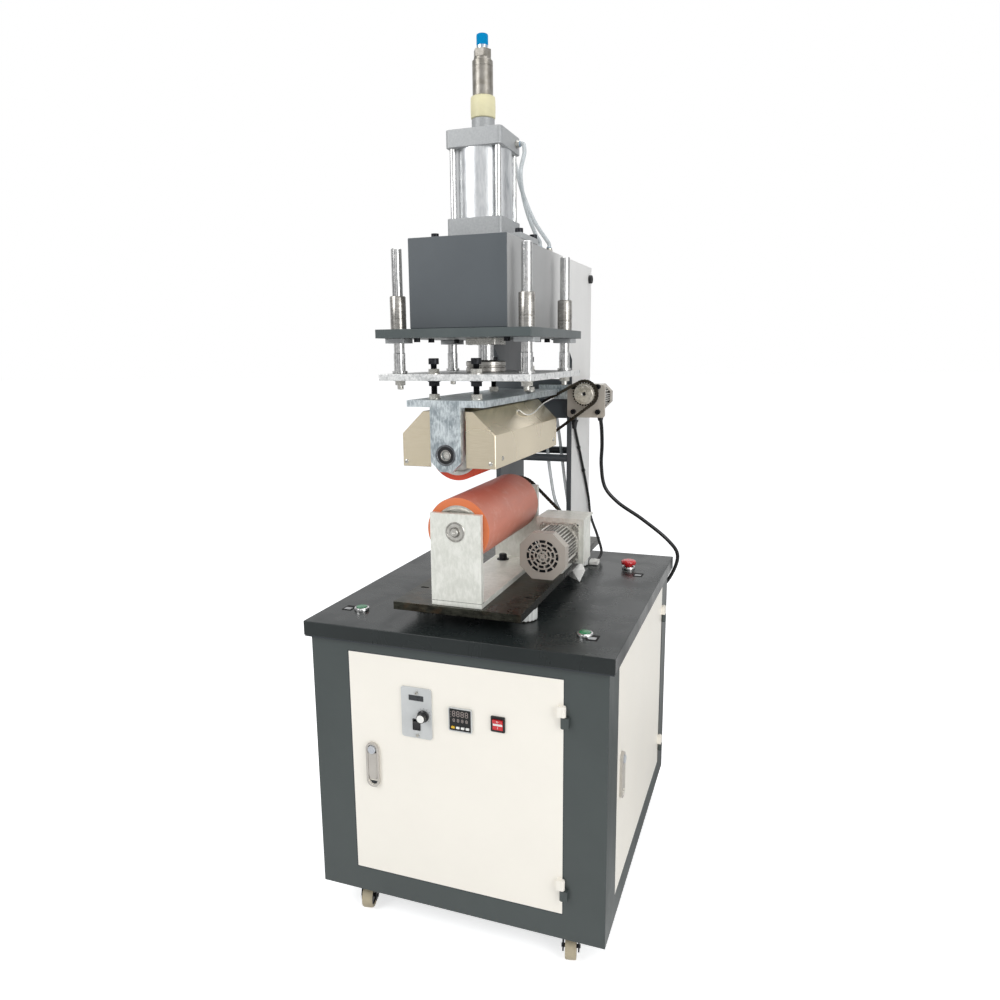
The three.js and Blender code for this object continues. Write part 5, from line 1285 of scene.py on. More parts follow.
def key_face(z):
    """Where the rocker's face stands at a height, read from its solid."""
    rows = {}
    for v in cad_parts["power_rocker"].data.vertices:
        if v.co.y / MM < FRONT_Y - 3:
            rows[round(v.co.z / MM, 1)] = v.co.y / MM
    under, over = max(r for r in rows if r <= z), min(r for r in rows if r > z)
    share = (z - under) / (over - under)
    return rows[under] * (1 - share) + rows[over] * share


def add_laid(bm, outline):
    """A thin mark on the rocker's face. outline is in X and Z."""
    add_prism(bm, *([(x, key_face(z) + depth, z) for x, z in outline] for depth in (-0.12, 0.2)))


bm = bmesh.new()
for start in (PZ - 2.8, PZ - 1.4, PZ):
    add_laid(bm, [(PX - 9.4, start), (PX + 9.4, start), (PX + 9.4, start + 1.39), (PX - 9.4, start + 1.39)])
add_laid(bm, [(PX - 0.4, PZ - 8.2), (PX + 0.4, PZ - 8.2), (PX + 0.4, PZ - 5), (PX - 0.4, PZ - 5)])
ring = [2 * math.pi * i / 16 for i in range(16)]
for a, b in zip(ring, ring[1:] + ring[:1]):
    part = ((1.4, a), (2.1, a), (2.1, b), (1.4, b))
    add_laid(bm, [(PX + r * math.cos(t), PZ + 6.2 + r * math.sin(t)) for r, t in part])
given(piece_of("power_marks", bm), mark_white, "power_rocker")
print("power rocker", 4)

# %% [markdown]
# Base plate and feet
# The press stands on a thick ground plate with oval slots. It lies on four polished feet with a
# soft rim. The plate is the softened solid; a foot is a turned profile, repeated by the tree that
# puts copies on points.

# %% Base plate and feet
dressed("base", "base_plate", 0.8, base_steel, "machine")
foot_profile = [(0, 0), (26.5, 0), (27.6, 1.2), (28, 4), (28, 24), (27.2, 26.6), (25.5, 28), (12, 28.1), (0, 28.1)]
foot = turned_template("foot", foot_profile, 56)
foot_spots = [(ROLLER_X + x, y, TABLE_Z + 0.1) for x in (-104, 104) for y in (-215, 215)]
copies("feet", foot, (0, 0, 1), foot_spots, foot_plastic, "machine")
upward_slots = [(ROLLER_X + side * 114, y) for side in SIDES for y in (-213, 213)]
# A near-black sheet in each slot: painted shade at the bottom of the hole.
bm = bmesh.new()
for x, y in upward_slots:
    add_pushed(bm, rounded(x - 9, y - 4, x + 9, y + 4, 3.9, 6), [], 0.4, raised(BASE_Z - 1.7))
given(piece_of("slot_floors", bm), hole_black, "machine")
print("feet", len(foot_spots), "slots", len(upward_slots))

# %% [markdown]
# Screws and nuts
# A press is held by cap screws, hexagon bolts and washers. Each kind is drawn once, standing on
# its seat with its head up, and the tree sets it down wherever a bolt is. The socket in a cap
# screw is a real hole, because it catches the light.

# %% Screws and nuts


def ngon(radius, sides):
    return circle(0, 0, radius, sides)


def cap_screw(diameter):
    """A socket head cap screw. The head is as high as the thread is wide."""
    bm = bmesh.new()
    head, socket = diameter * 0.75, diameter * 0.46
    add_pushed(bm, ngon(head, 24), [ngon(socket, 6)], diameter * 0.9, UPRIGHT)
    add_pushed(bm, ngon(head * 0.97, 24), [], diameter * 0.3, UPRIGHT)
    return template("cap_screw_%d" % (diameter * 10), bm)


def hex_bolt(across, height, washer, rise=1.6):
    """A hexagon head with its chamfer, on a washer."""
    bm = bmesh.new()
    half, top = across * 0.5, rise + height
    add_turned(bm, ring_profile(washer, across * 0.3, 0, rise), UPRIGHT, 32)
    add_pushed(bm, ngon(across / math.sqrt(3), 6), [], height * 0.86, raised(rise))
    chamfer = [(0, rise + height * 0.8), (half, rise + height * 0.8), (half, rise + height * 0.9)]
    add_turned(bm, [*chamfer, (across * 0.43, top), (0, top)], UPRIGHT, 24)
    return template("hex_bolt_%d" % (across * 10), bm)


m4_cap, m6_cap, m8_cap, m10_cap = (cap_screw(d) for d in (4, 6, 8, 10))
hex_17 = hex_bolt(17, 12, 28)
print("kinds of screw", 5)

# %% [markdown]
# Lower bracket
# The lower roller turns in a welded strip of plate: two uprights on a foot. It is the softened
# solid with its own scratched finish. A bolt with a washer clamps the foot to the base.

# %% Lower bracket
dressed("lower_bracket", "lower_roller_bracket", 0.8, bracket_steel, "machine")
copies("foot_bolts", hex_17, (0, 0, 1), [(-27, 14, BASE_Z + 10.3)], black_oxide, "machine")
bm = bmesh.new()
left, near, right, far = plan("lower_roller_bracket")
add_block(bm, (left + 1, near - 0.12, BASE_Z + 9.7), (right + 0.12, near + 14, BASE_Z + 10.4))
given(piece_of("bracket_seam", bm), dark_steel, "machine")
print("bracket bolts", 1)

# %% [markdown]
# Rollers
# Each roller is a metal core on a shaft, with a silicone sleeve moulded on it. The sleeve's ends
# are cut square and a little softened. All of it is turned, so each is a profile; the sleeve is a
# tube, so the core shows at its end.

# %% Rollers
UX, UZ = UPPER_AXIS
LX, LZ = LOWER_AXIS


def sleeve(name, radius, wall, start, end, x, z, material, node):
    profile = [
        (radius - wall, start), (radius - wall, end), (radius - 1.6, end), (radius - 0.5, end - 0.5),
        (radius, end - 1.8), (radius, start + 1.8), (radius - 0.5, start + 0.5), (radius - 1.6, start),
    ]
    piece = lathe(name, profile, "y", (x, 0, z), 96)
    return given(piece, material, node.replace("_sleeve", ""), nodes=[node])


u0, u1 = low("upper_roller_sleeve", 1), high("upper_roller_sleeve", 1)
l0, l1 = low("lower_roller_sleeve", 1), high("lower_roller_sleeve", 1)
sleeve("upper_sleeve", 54, 10, u0, u1, UX, UZ, upper_rubber, "upper_roller_sleeve")
sleeve("lower_sleeve", 64, 15, l0, l1, LX, LZ, lower_rubber, "lower_roller_sleeve")


def core(name, radius, start, end, sleeve_start, sleeve_end, x, z, body, node):
    """A tube closed by sunk end discs, on a shaft with turning centres."""
    wall, sunk = radius - 8, 6
    a, b = sleeve_start, sleeve_end
    profile = [
        (0, start + 3.2), (2.4, start), (6.6, start), (7.4, start + 0.8), (7.4, a - 3), (17, a - 3),
        (17, a + sunk), (wall, a + sunk), (wall + 0.6, a + 0.4), (wall + 1.2, a), (radius - 0.15, a),
        (radius - 0.15, b), (wall + 1.2, b), (wall + 0.6, b - 0.4), (wall, b - sunk), (17, b - sunk), (17, b + 3),
        (7.4, b + 3), (7.4, end - 0.8), (6.6, end), (2.4, end), (0, end - 3.2),
    ]
    return given(lathe(name, profile, "y", (x, 0, z), 72), core_steel, body, nodes=[node])


core(
    "upper_core", 44, low("upper_roller_shaft", 1), high("upper_roller_shaft", 1), u0, u1, UX, UZ, "upper_roller",
    "upper_roller_shaft",
)
core(
    "lower_core", 49, low("lower_roller_shaft", 1), high("lower_roller_shaft", 1), l0, l1, LX, LZ, "lower_roller",
    "lower_roller_shaft",
)
print("upper sleeve", round(u0), round(u1), "lower sleeve", round(l0), round(l1))

# %% [markdown]
# Bearings
# A ball bearing sits in each upright and hanger: an outer ring, a black seal and an inner ring.
# Rings could share one profile, but the seal is rubber and the rings are ground steel, so they
# are three thin turned rings.

# %% Bearings


def bearing(name, x, z, face, direction, body, seal=black_plastic, ring=flange_steel):
    """Outer ring, seal and inner ring. face is the plate's face, direction points out of it."""
    axis = "-y" if direction < 0 else "y"
    at = (x, face, z)
    rings = (
        ("outer", [(16.0, 0.05), (19.6, 0.05), (19.6, 0.9), (19.0, 1.5), (16.6, 1.5), (16.0, 0.9)], ring,
        "zinc_steel"),
        ("seal", [(10.3, 0.05), (16.0, 0.05), (16.0, 0.55), (13, 0.8), (10.3, 0.55)], seal, "black_plastic"),
        ("inner", [(7.6, 0.05), (10.3, 0.05), (10.3, 1.3), (9.9, 1.7), (8.1, 1.7), (7.6, 1.3)], bushing_steel,
        "zinc_steel"),
    )
    for part, profile, material, slot in rings:
        given(lathe(name + "_" + part, profile, axis, at, 48), material, body)


bearing("lower_front_bearing", LX, LZ, l0 - 15, -1, "machine", core_steel, nut_zinc)
bearing("lower_rear_bearing", LX, LZ, l1 + 44, 1, "machine", core_steel, nut_zinc)
print("bearings", 2)

# %% [markdown]
# Sprockets
# Each roller and each motor has a toothed wheel for a quarter inch chain. Teeth could be cut from
# a disc, but a tooth is one small pushed outline, copied round the axis by a tree, on a turned
# disc with a hub. The pitch radius follows from the number of teeth and the pitch.

# %% Sprockets
PITCH = 6.35
UPPER_TEETH, LOWER_TEETH, DRIVE_TEETH = 38, 44, 26


def pitch_radius(teeth):
    return PITCH / (2 * math.sin(math.pi / teeth))


def ringed(name, copy, count, radius, axis, at, material, body):
    """Copies round an axis, standing outwards."""
    turn = turned_axis(axis, at)
    values = {"Copy": copy, "Count": count, "Radius": radius * MM}
    values |= {"Place": turn.translation, "Turn": turn.to_euler()}
    piece = grown(name, round_axis, values, None, (), material)
    return given(piece, material, body)


TOOTH_THICK = 2.6
bm = bmesh.new()
tooth_outline = [(-2.4, -2.6), (0.4, -1.55), (1.4, -0.7), (1.6, 0), (1.4, 0.7), (0.4, 1.55), (-2.4, 2.6)]
add_pushed(bm, tooth_outline, [], TOOTH_THICK, raised(-TOOTH_THICK / 2))
tooth = template("tooth", bm)


def sprocket(name, teeth, axis, at, hub, bore, material, body, nodes=()):
    """Hub sizes are (radius, from, to) along the axis, in front of and behind the disc."""
    pitch = pitch_radius(teeth)
    disc = pitch - 1.9
    (front_radius, front_end), (rear_radius, rear_end) = hub
    half = TOOTH_THICK / 2
    profile = [
        (bore, front_end), (bore + 0.8, front_end - 0.6), (front_radius - 0.8, front_end - 0.6),
        (front_radius, front_end), (front_radius, -half), (disc, -half), (disc, half),
        (rear_radius, half), (rear_radius, rear_end), (bore, rear_end),
    ]
    wheel = lathe(name, profile, axis, at, 56)
    given(wheel, material, body, nodes)
    return ringed(name + "_teeth", tooth, teeth, pitch, axis, at, tooth_steel, body)


UPPER_CHAIN_Y, LOWER_CHAIN_Y = 127.0, l1 + 59
sprocket(
    "upper_sprocket", UPPER_TEETH, "y", (UX, UPPER_CHAIN_Y, UZ), ((13, -5), (13, 5)), 7.3, dark_steel,
    "upper_roller",
)
sprocket(
    "lower_sprocket", LOWER_TEETH, "y", (LX, LOWER_CHAIN_Y, LZ), ((13, -5), (13, 5)), 7.3, dark_steel,
    "lower_roller",
)
sprocket(
    "upper_drive_sprocket", DRIVE_TEETH, "y", (UPPER_MOTOR[0], UPPER_CHAIN_Y, UPPER_MOTOR[1]),
    ((20, -4.4), (12, 13.8)), 4.4, hub_steel, "upper_motor_sprocket", ["upper_motor_sprocket"],
)
sprocket(
    "lower_drive_sprocket", DRIVE_TEETH, "y", (LOWER_MOTOR[0], LOWER_CHAIN_Y, LOWER_MOTOR[1]),
    ((12, -13.8), (20, 4.4)), 4.4, hub_steel, "lower_motor_sprocket", ["lower_motor_sprocket"],
)
for name, spot, y0, y1, body in (
    ("upper_drive_end", UPPER_MOTOR, UPPER_CHAIN_Y - 3.4, UPPER_CHAIN_Y + 34, "upper_motor_sprocket"),
    ("lower_drive_end", LOWER_MOTOR, LOWER_CHAIN_Y - 39, LOWER_CHAIN_Y + 3.4, "lower_motor_sprocket"),
):
    given(
        lathe(name, bar_profile(8.4, y0, y1, 0.5), "y", (spot[0], 0, spot[1]), 24), black_oxide, body,
    )
print("sprockets", 4)

# %% [markdown]
# Roller chains
# A roller chain is two kinds of link in turn. The path is two arcs and the two straight runs that
# touch both wheels. A tree turns the path into a curve, shares it into equal steps, and sets an
# outer link on the even points and an inner link on the odd ones, each turned along the path.

# %% Roller chains
along_path = Growth(
    "links on a path",
    {"Copy": "NodeSocketObject", "Count": "NodeSocketInt", "Parity": "NodeSocketInt",
    "Material": "NodeSocketMaterial"},
)
path_curve = along_path.node("GeometryNodeMeshToCurve", None, {"Mesh": along_path["Geometry"]})
path_points = along_path.node(
    "GeometryNodeCurveToPoints", {"mode": "COUNT"}, {"Curve": path_curve, "Count": along_path["Count"]}
)
path_tangent = path_points.node.outputs["Tangent"]
path_turn = along_path.node(
    "FunctionNodeAlignRotationToVector", {"axis": "X", "pivot_axis": "Y"}, {"Vector": path_tangent}
)
path_index = along_path.node("GeometryNodeInputIndex")
path_odd = along_path.node("ShaderNodeMath", {"operation": "MODULO"}, {0: path_index, 1: 2.0})
path_pick = along_path.node(
    "FunctionNodeCompare",
    {"data_type": "FLOAT", "operation": "EQUAL"},
    {"A": path_odd, "B": along_path["Parity"], "Epsilon": 0.1},
)
along_path.end(along_path.placed(path_points, path_turn, Selection=path_pick))


def link_outline(waist=2.7, end=3.6, steps=5):
    """The waisted plate of a link in X and Y, with round ends on the two pins."""
    points = []
    for side in (1, -1):
        for i in range(steps + 1):
            turn = math.radians(-90 + 180 * i / steps)
            points.append((side * (PITCH / 2 + end * math.cos(turn)), side * end * math.sin(turn)))
        points.append((0, side * waist))
    return points


def link(name, inside, plate, pins):
    bm = bmesh.new()
    lay = Matrix.Rotation(math.pi / 2, 4, "X")
    for side in SIDES:
        start = side * (inside / 2 + plate / 2) - plate / 2
        add_pushed(bm, link_outline(), [], plate, Matrix.Translation((0, (start + plate) * MM, 0)) @ lay)
    for x in (-PITCH / 2, PITCH / 2):
        radius, reach = pins
        add_turned(
            bm, [(0, -reach), (radius, -reach), (radius, reach), (0, reach)],
            Matrix.Translation((x * MM, 0, 0)) @ lay, 8,
        )
    return template(name, bm)


outer_link = link("outer_link", 4.5, 0.7, (1.2, 3.1))
inner_link = link("inner_link", 3.0, 0.7, (1.45, 1.7))
LIFT = 3.2  # how far the chain runs outside the teeth, so that they turn freely in it


def chain_path(one, two, radius_one, radius_two, y, steps=40):
    """Closed path round two wheels at (x, z), as points in millimetres."""
    span = Vector((two[0] - one[0], two[1] - one[1]))
    heading = math.atan2(span.y, span.x)
    lean = math.acos((radius_one - radius_two) / span.length)
    points = []
    for centre, radius, start, sweep in (
        (one, radius_one, heading + lean, 2 * math.pi - 2 * lean),
        (two, radius_two, heading - lean, 2 * lean),
    ):
        for i in range(steps + 1):
            turn = start + sweep * i / steps
            points.append((centre[0] + radius * math.cos(turn), y, centre[1] + radius * math.sin(turn)))
    return points


def chain(name, one, two, teeth_one, teeth_two, y, body, nodes):
    path = chain_path(one, two, pitch_radius(teeth_one) + LIFT, pitch_radius(teeth_two) + LIFT, y)
    edges = [(i, (i + 1) % len(path)) for i in range(len(path))]
    length = sum((Vector(path[b]) - Vector(path[a])).length for a, b in edges)
    count = 2 * round(length / PITCH / 2)
    for parity, copy in enumerate((outer_link, inner_link)):
        piece = grown(
            "%s_%s" % (name, copy.name), along_path, {"Copy": copy, "Count": count, "Parity": parity}, path, edges,
            chain_steel,
        )
        given(piece, chain_steel, body, nodes=nodes if parity == 0 else ())
    print(name, count, "links")


chain("upper_loop", UPPER_AXIS, UPPER_MOTOR, UPPER_TEETH, DRIVE_TEETH, UPPER_CHAIN_Y, "carriage", ["upper_chain"])
chain("lower_loop", LOWER_AXIS, LOWER_MOTOR, LOWER_TEETH, DRIVE_TEETH, LOWER_CHAIN_Y, "machine", ["lower_chain"])

# %% [markdown]
# Lower gear motor
# The motor is an eight-sided casting with cooling fins and a fan cover with rings of slots, on a
# square gearbox that is bolted to a folded bracket. Slots could be a picture on the cover; they
# are real holes here, with a fan and a dark disc of painted shade behind them, because they are
# looked at from close by.

# %% Lower gear motor
REGULAR_CUT = 0.2929  # the corner cut of an even octagon
MOTOR_CUT = 0.27


def octagon(x, y, across, cut=REGULAR_CUT):
    half, c = across / 2, across * cut
    corners = [(-half + c, -half), (half - c, -half), (half, -half + c), (half, half - c)]
    corners += [(half - c, half), (-half + c, half), (-half, half - c), (-half, -half + c)]
    return [(x + u, y + v) for u, v in corners]


def back_plane(y):
    """A matrix from an outline in (x, z) to the plane at y, pushed to the rear."""
    laid = Matrix.Translation((0, y * MM, 0)) @ Matrix.Rotation(math.pi / 2, 4, "X")
    return laid @ Matrix.Scale(-1, 4, (0, 0, 1))


def rearward(name, shapes, bevel, material, body, nodes=(), segments=2):
    """A piece of outlines in (x, z): shapes are (outline, holes, from, to) along Y."""
    bm = bmesh.new()
    for outline, holes, start, end in shapes:
        add_pushed(bm, outline, holes, end - start, back_plane(start))
    return given(piece_of(name, bm, bevel, segments), material, body, nodes)


def slot_ring(x, z, radius, width, count, share, turn=0.0, steps=4):
    """Curved slots in a ring."""
    slots = []
    for i in range(count):
        middle_turn = turn + 2 * math.pi * i / count
        half = math.pi * share / count
        angles = [middle_turn - half + 2 * half * k / steps for k in range(steps + 1)]
        inner = [(x + radius * math.cos(t), z + radius * math.sin(t)) for t in angles]
        outer = [
            (x + (radius + width) * math.cos(t), z + (radius + width) * math.sin(t)) for t in reversed(angles)
        ]
        slots.append(inner + outer)
    return slots


MX, MZ = LOWER_MOTOR[0], LOWER_MOTOR[1] + 20
COVER_Y = LOWER_CHAIN_Y - 235
holes = (
    slot_ring(MX, MZ, 28.2, 6, 12, 0.8)
    + slot_ring(MX, MZ, 19.6, 5.6, 10, 0.78, 0.2)
    + slot_ring(MX, MZ, 11.8, 4.8, 7, 0.74, 0.4)
    + slot_ring(MX, MZ, 5, 3.6, 4, 0.66, 0.1)
)
cover_outline = octagon(MX, MZ, 97, MOTOR_CUT)
rearward(
    "fan_cover", [(cover_outline, holes, COVER_Y, COVER_Y + 2)], 0.5,
    cover_paint, "machine", nodes=["lower_gear_motor"],
)
rearward(
    "fan_cover_wall", [(cover_outline, [octagon(MX, MZ, 93, MOTOR_CUT)], COVER_Y + 1.6, COVER_Y + 25)],
    0.4, cover_paint, "machine",
)
# A dark disc inside the cover, behind the fan: painted shade that shows through the slots.
rearward(
    "fan_dark", [(octagon(MX, MZ, 92.4, MOTOR_CUT), [], COVER_Y + 15, COVER_Y + 16)], 0, inside_paint, "machine",
)
bm = bmesh.new()
blade = [(9, -1), (33, -1), (33, 1), (9, 1)]
add_pushed(bm, blade, [], 5, Matrix.Rotation(0.5, 4, "X"))
fan_blade = template("fan_blade", bm)
ringed("fan_blades", fan_blade, 9, 0.01, "y", (MX, COVER_Y + 6, MZ), fin_alloy, "machine")
given(
    lathe("fan_hub", bar_profile(20, COVER_Y + 4.5, COVER_Y + 11.9, 1), "y", (MX, 0, MZ), 32), fin_alloy,
    "machine",
)
FIN_Y = COVER_Y + 25
# The finned body takes the darker root finish: painted shade between the fins.
rearward(
    "motor_body", [(octagon(MX, MZ, 78, MOTOR_CUT), [], FIN_Y - 1, FIN_Y + 98)], 0.8, root_alloy, "machine"
)


def stood(outward, along, place):
    """A matrix that takes X outwards and Z along, at a point in millimetres."""
    side = along.cross(outward)
    turn = Matrix((outward, side, along)).transposed().to_4x4()
    return Matrix.Translation(place * MM) @ turn


def add_fins(bm, x, z, flat, width, step, count, start, end, height=7.5):
    """Fins on the eight flats of a body. flat is how far a flat stands from the axis."""
    fin = [
        (-1, -width / 2), (height - 1.4, -width * 0.4), (height - 1, 0), (height - 1.4, width * 0.4),
        (-1, width / 2),
    ]
    back = Vector((0, 1, 0))
    for k in range(8):
        turn = math.pi / 4 * k
        outward = Vector((math.cos(turn), 0, math.sin(turn)))
        for i in range(count):
            place = Vector((x, start, z)) + outward * flat + back.cross(outward) * (i - (count - 1) / 2) * step
            add_pushed(bm, fin, [], end - start, stood(outward, back, place))


bm = bmesh.new()
add_fins(bm, MX, MZ, 38.6, 2.9, 6.6, 5, FIN_Y - 0.5, FIN_Y + 90, 6.2)
given(piece_of("motor_fins", bm), fin_alloy, "machine")
FLANGE_Y = FIN_Y + 98
rearward(
    "motor_flange",
    [(octagon(MX, MZ, 88, 0.1), [], FLANGE_Y, FLANGE_Y + 10),
    (circle(MX, MZ, 42.5, 56), [], FLANGE_Y - 8, FLANGE_Y)],
    0.8, fin_alloy, "machine",
)
flange_bolts = [(MX + x * 37, FLANGE_Y - 0.1, MZ + z * 37) for x in SIDES for z in SIDES]
copies("flange_bolts", m6_cap, (0, -1, 0), flange_bolts, nut_zinc, "machine")
rearward(
    "lower_gearbox", [(rounded(MX - 43, MZ - 43, MX + 43, MZ + 43, 4, 4), [], FLANGE_Y + 10, LOWER_CHAIN_Y - 21)],
    1.0, fin_alloy, "machine",
)
BX0, BX1, BY0, BY1 = MX - 53.5, MX + 53.5, LOWER_CHAIN_Y - 102, LOWER_CHAIN_Y - 15
BASE_RIGHT = ROLLER_X + 132
plate_outline = [
    (BX0, BASE_Z + SEAT), (BASE_RIGHT, BASE_Z + SEAT), (BASE_RIGHT, MZ - 46), (BX1, MZ - 46),
    (BX1, MZ + 53), (BX0, MZ + 53),
]
rearward(
    "motor_bracket_face", [(plate_outline, [circle(MX, MZ, 43.4, 48)], BY0, BY0 + 8)],
    0.7, bracket_steel, "machine",
)
bm = bmesh.new()
add_block(bm, (BX0, BY0 + 7, MZ + 49), (BX1, BY1, MZ + 53))
add_block(bm, (BX0, BY0 + 7, BASE_Z + SEAT), (BASE_RIGHT, BY1, BASE_Z + 8.3))
given(piece_of("motor_bracket", bm, 0.6), bracket_steel, "machine")
bm = bmesh.new()
add_block(bm, (BX1 - 3, BY0 + 7, MZ - 44), (BX1, BY1 - 24, MZ + 49.5))
given(piece_of("motor_bracket_cheek", bm, 0.5), bracket_steel, "machine")
copies(
    "bracket_screws", m6_cap, (0, 0, 1), [(BX0 + 12, y, BASE_Z + 8.4) for y in (BY0 + 22, BY1 - 16)],
    black_oxide, "machine",
)
print("fan cover slots", len(holes), "flange bolts", len(flange_bolts))

# %% [markdown]
# Upper gear motor
# The upper motor hangs behind a cast flange plate with round corners, which three cap screws hold.
# Its body has the same eight sides and small fins, so the same makers serve.

# %% Upper gear motor
VX, VZ = UPPER_MOTOR[0], UPPER_MOTOR[1] - 13
PLATE_Y = UPPER_CHAIN_Y + 15.5
PLATE_TOP = CARRIER_Z + 10
plate_left, plate_right, plate_foot = UPPER_MOTOR[0] - 44.5, UPPER_MOTOR[0] + 44.5, PLATE_TOP - 76
corner_points = rounded(plate_left, plate_foot, plate_right, PLATE_TOP, 6, 5)
rearward(
    "upper_motor_plate", [(corner_points, [circle(UPPER_MOTOR[0], UPPER_MOTOR[1], 13, 32)], PLATE_Y, PLATE_Y + 8)],
    0.9, motor_paint, "carriage", nodes=["upper_gear_motor"],
)
bm = bmesh.new()
add_block(bm, (plate_left - 70, PLATE_Y + 0.6, PLATE_TOP - 34), (plate_left + 6, PLATE_Y + 7.4, PLATE_TOP - 0.6))
given(piece_of("upper_motor_arm", bm, 0.7), zinc_steel, "carriage")
rearward(
    "upper_gearbox",
    [(octagon(VX, VZ, 70, 0.1), [], PLATE_Y + 7.5, PLATE_Y + 52),
    (octagon(VX, VZ, 64, 0.2), [], PLATE_Y + 51, PLATE_Y + 64)],
    1.0, fin_alloy, "carriage",
)
# The body between the upper motor's fins takes the same darker finish, painted shade.
rearward("upper_motor_body", [(octagon(VX, VZ, 54), [], PLATE_Y + 63, PLATE_Y + 128)], 0.8, root_alloy, "carriage")
bm = bmesh.new()
add_fins(bm, VX, VZ, 26.6, 2.2, 5.2, 4, PLATE_Y + 66, PLATE_Y + 124, 4.6)
given(piece_of("upper_motor_fins", bm), fin_alloy, "carriage")
end_holes = slot_ring(VX, VZ, 17, 5, 12, 0.66) + slot_ring(VX, VZ, 8, 4, 6, 0.62)
rearward(
    "upper_fan_cover",
    [(octagon(VX, VZ, 62), [octagon(VX, VZ, 58)], PLATE_Y + 127, PLATE_Y + 154),
    (octagon(VX, VZ, 62), end_holes, PLATE_Y + 152, PLATE_Y + 154)],
    0, cover_paint, "carriage",
)
# A dark disc inside the upper fan cover: painted shade that shows through the slots.
rearward(
    "upper_fan_dark", [(octagon(VX, VZ, 57.6), [], PLATE_Y + 140, PLATE_Y + 141)], 0, inside_paint, "carriage",
)
upper_screws = [
    (UPPER_MOTOR[0] + x * 29, PLATE_Y, VZ + z * 29) for x, z in ((-1, -1), (1, -1), (1, 1), (-1, 1))
]
copies("upper_motor_screws", m8_cap, (0, -1, 0), upper_screws, black_oxide, "carriage")
print("upper motor", 7)

# %% [markdown]
# Column and head
# The posts are two painted plates joined by a cross plate and a tie bar; a boxed head reaches
# forwards from them. Their outer sides are light and their front edges dark, so one softened
# solid takes two paints, given to its faces by the way they look.

# %% Column and head


def two_paints(name, node, bevel, side_material, front_material):
    """Faces that look sideways get one paint and all others the second."""
    piece = softened_solid(name, node, bevel)
    piece.data.materials.clear()
    piece.data.materials.append(front_material)
    piece.data.materials.append(side_material)
    for face in piece.data.polygons:
        face.material_index = 1 if abs(face.normal.x) > 0.6 and abs(face.center.x / MM) > 95.5 else 0
    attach(piece, "machine")
    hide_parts(node)
    return piece


two_paints("left_post", "column_left", 0.9, post_paint, head_paint)
two_paints("right_post", "column_right", 0.9, post_paint, head_paint)
dressed("head_front", "head_cover", 1.4, head_paint, "machine")
given(
    lathe("tie_bar", bar_profile(18.6, -83.6, 83.6, 0.4), "x", (0, 321.0, low("column_left", 2) + 231), 32),
    inside_paint, "machine",
)
head_bolt = lathe(
    "head_bolt", [(0, 0.1), (10, 0.1), (10, 7.2), (9, 8.2), (5, 8.2), (5, 3.4), (0, 3.4)], "x", (96, 320, 1358),
    40,
)
given(head_bolt, black_plastic, "machine")
print("head pieces", 5)

# %% [markdown]
# Cylinder
# A standard square-cap air cylinder: two cast caps, a round tube and four tie rods with nuts, on
# a flange that cap screws hold to the head. The caps are pushed outlines with round corners,
# because their corners are what catches the light.

# %% Cylinder
CYL_X, CYL_Y = 0.0, PRESS_Y
FLANGE_TOP = HEAD_Z + 11.3


def upward(name, shapes, bevel, material, body, nodes=(), segments=2):
    """A piece of outlines in (x, y): shapes are (outline, holes, from, to) along Z."""
    bm = bmesh.new()
    for outline, holes, start, end in shapes:
        add_pushed(bm, outline, holes, end - start, raised(start))
    return given(piece_of(name, bm, bevel, segments), material, body, nodes)


CAP_HALF = 56.0
cap_outline = rounded(CYL_X - CAP_HALF, CYL_Y - CAP_HALF, CYL_X + CAP_HALF, CYL_Y + CAP_HALF, 8, 6)
LOW_CAP_TOP = FLANGE_TOP + 33
HIGH_CAP_LOW = high("cylinder_barrel", 2) + SEAT
HIGH_CAP_TOP = HIGH_CAP_LOW + 32
upward(
    "cylinder_flange", [(rounded(-96, CYL_Y - 61, 96, CYL_Y + 46, 3, 4), [], HEAD_Z + SEAT, FLANGE_TOP)], 0.8,
    cap_alloy, "machine", nodes=["cylinder_barrel"],
)
upward("lower_cap", [(cap_outline, [], FLANGE_TOP - 0.2, LOW_CAP_TOP)], 1.4, cap_alloy, "machine")
upward(
    "upper_cap", [(cap_outline, [], HIGH_CAP_LOW, HIGH_CAP_TOP)], 1.4, cap_alloy, "machine",
    nodes=["cylinder_head"],
)
tube = [(50, LOW_CAP_TOP - 0.5), (50, HIGH_CAP_LOW + 0.5), (54, HIGH_CAP_LOW + 0.5), (54, LOW_CAP_TOP - 0.5)]
given(lathe("cylinder_tube_wall", tube, "z", (CYL_X, CYL_Y, 0), 96), tube_alloy, "machine")
for i, (x, y) in enumerate(((-45, -45), (45, -45), (45, 45), (-45, 45))):
    rod = bar_profile(12, LOW_CAP_TOP - 0.5, HIGH_CAP_LOW + 0.5, 0.2)
    given(lathe("tie_rod_%d" % (i + 1), rod, "z", (CYL_X + x, CYL_Y + y, 0), 24), rod_chrome, "machine")
boss_top = high("cylinder_head", 2)
boss = [
    (15.4, HIGH_CAP_TOP - 0.3), (30, HIGH_CAP_TOP - 0.3), (30, HIGH_CAP_TOP + 3.2), (29, HIGH_CAP_TOP + 4.2),
    (22, HIGH_CAP_TOP + 4.4), (22, boss_top - 1.2), (20.8, boss_top), (15.4, boss_top),
]
given(lathe("cylinder_boss", boss, "z", (CYL_X, CYL_Y, 0), 64), cap_alloy, "machine")
flange_spots = [(x * 86, y, FLANGE_TOP) for x in SIDES for y in (-196, -108)]
copies("cylinder_screws", m10_cap, (0, 0, 1), flange_spots, black_oxide, "machine")
print("cylinder pieces", 10)

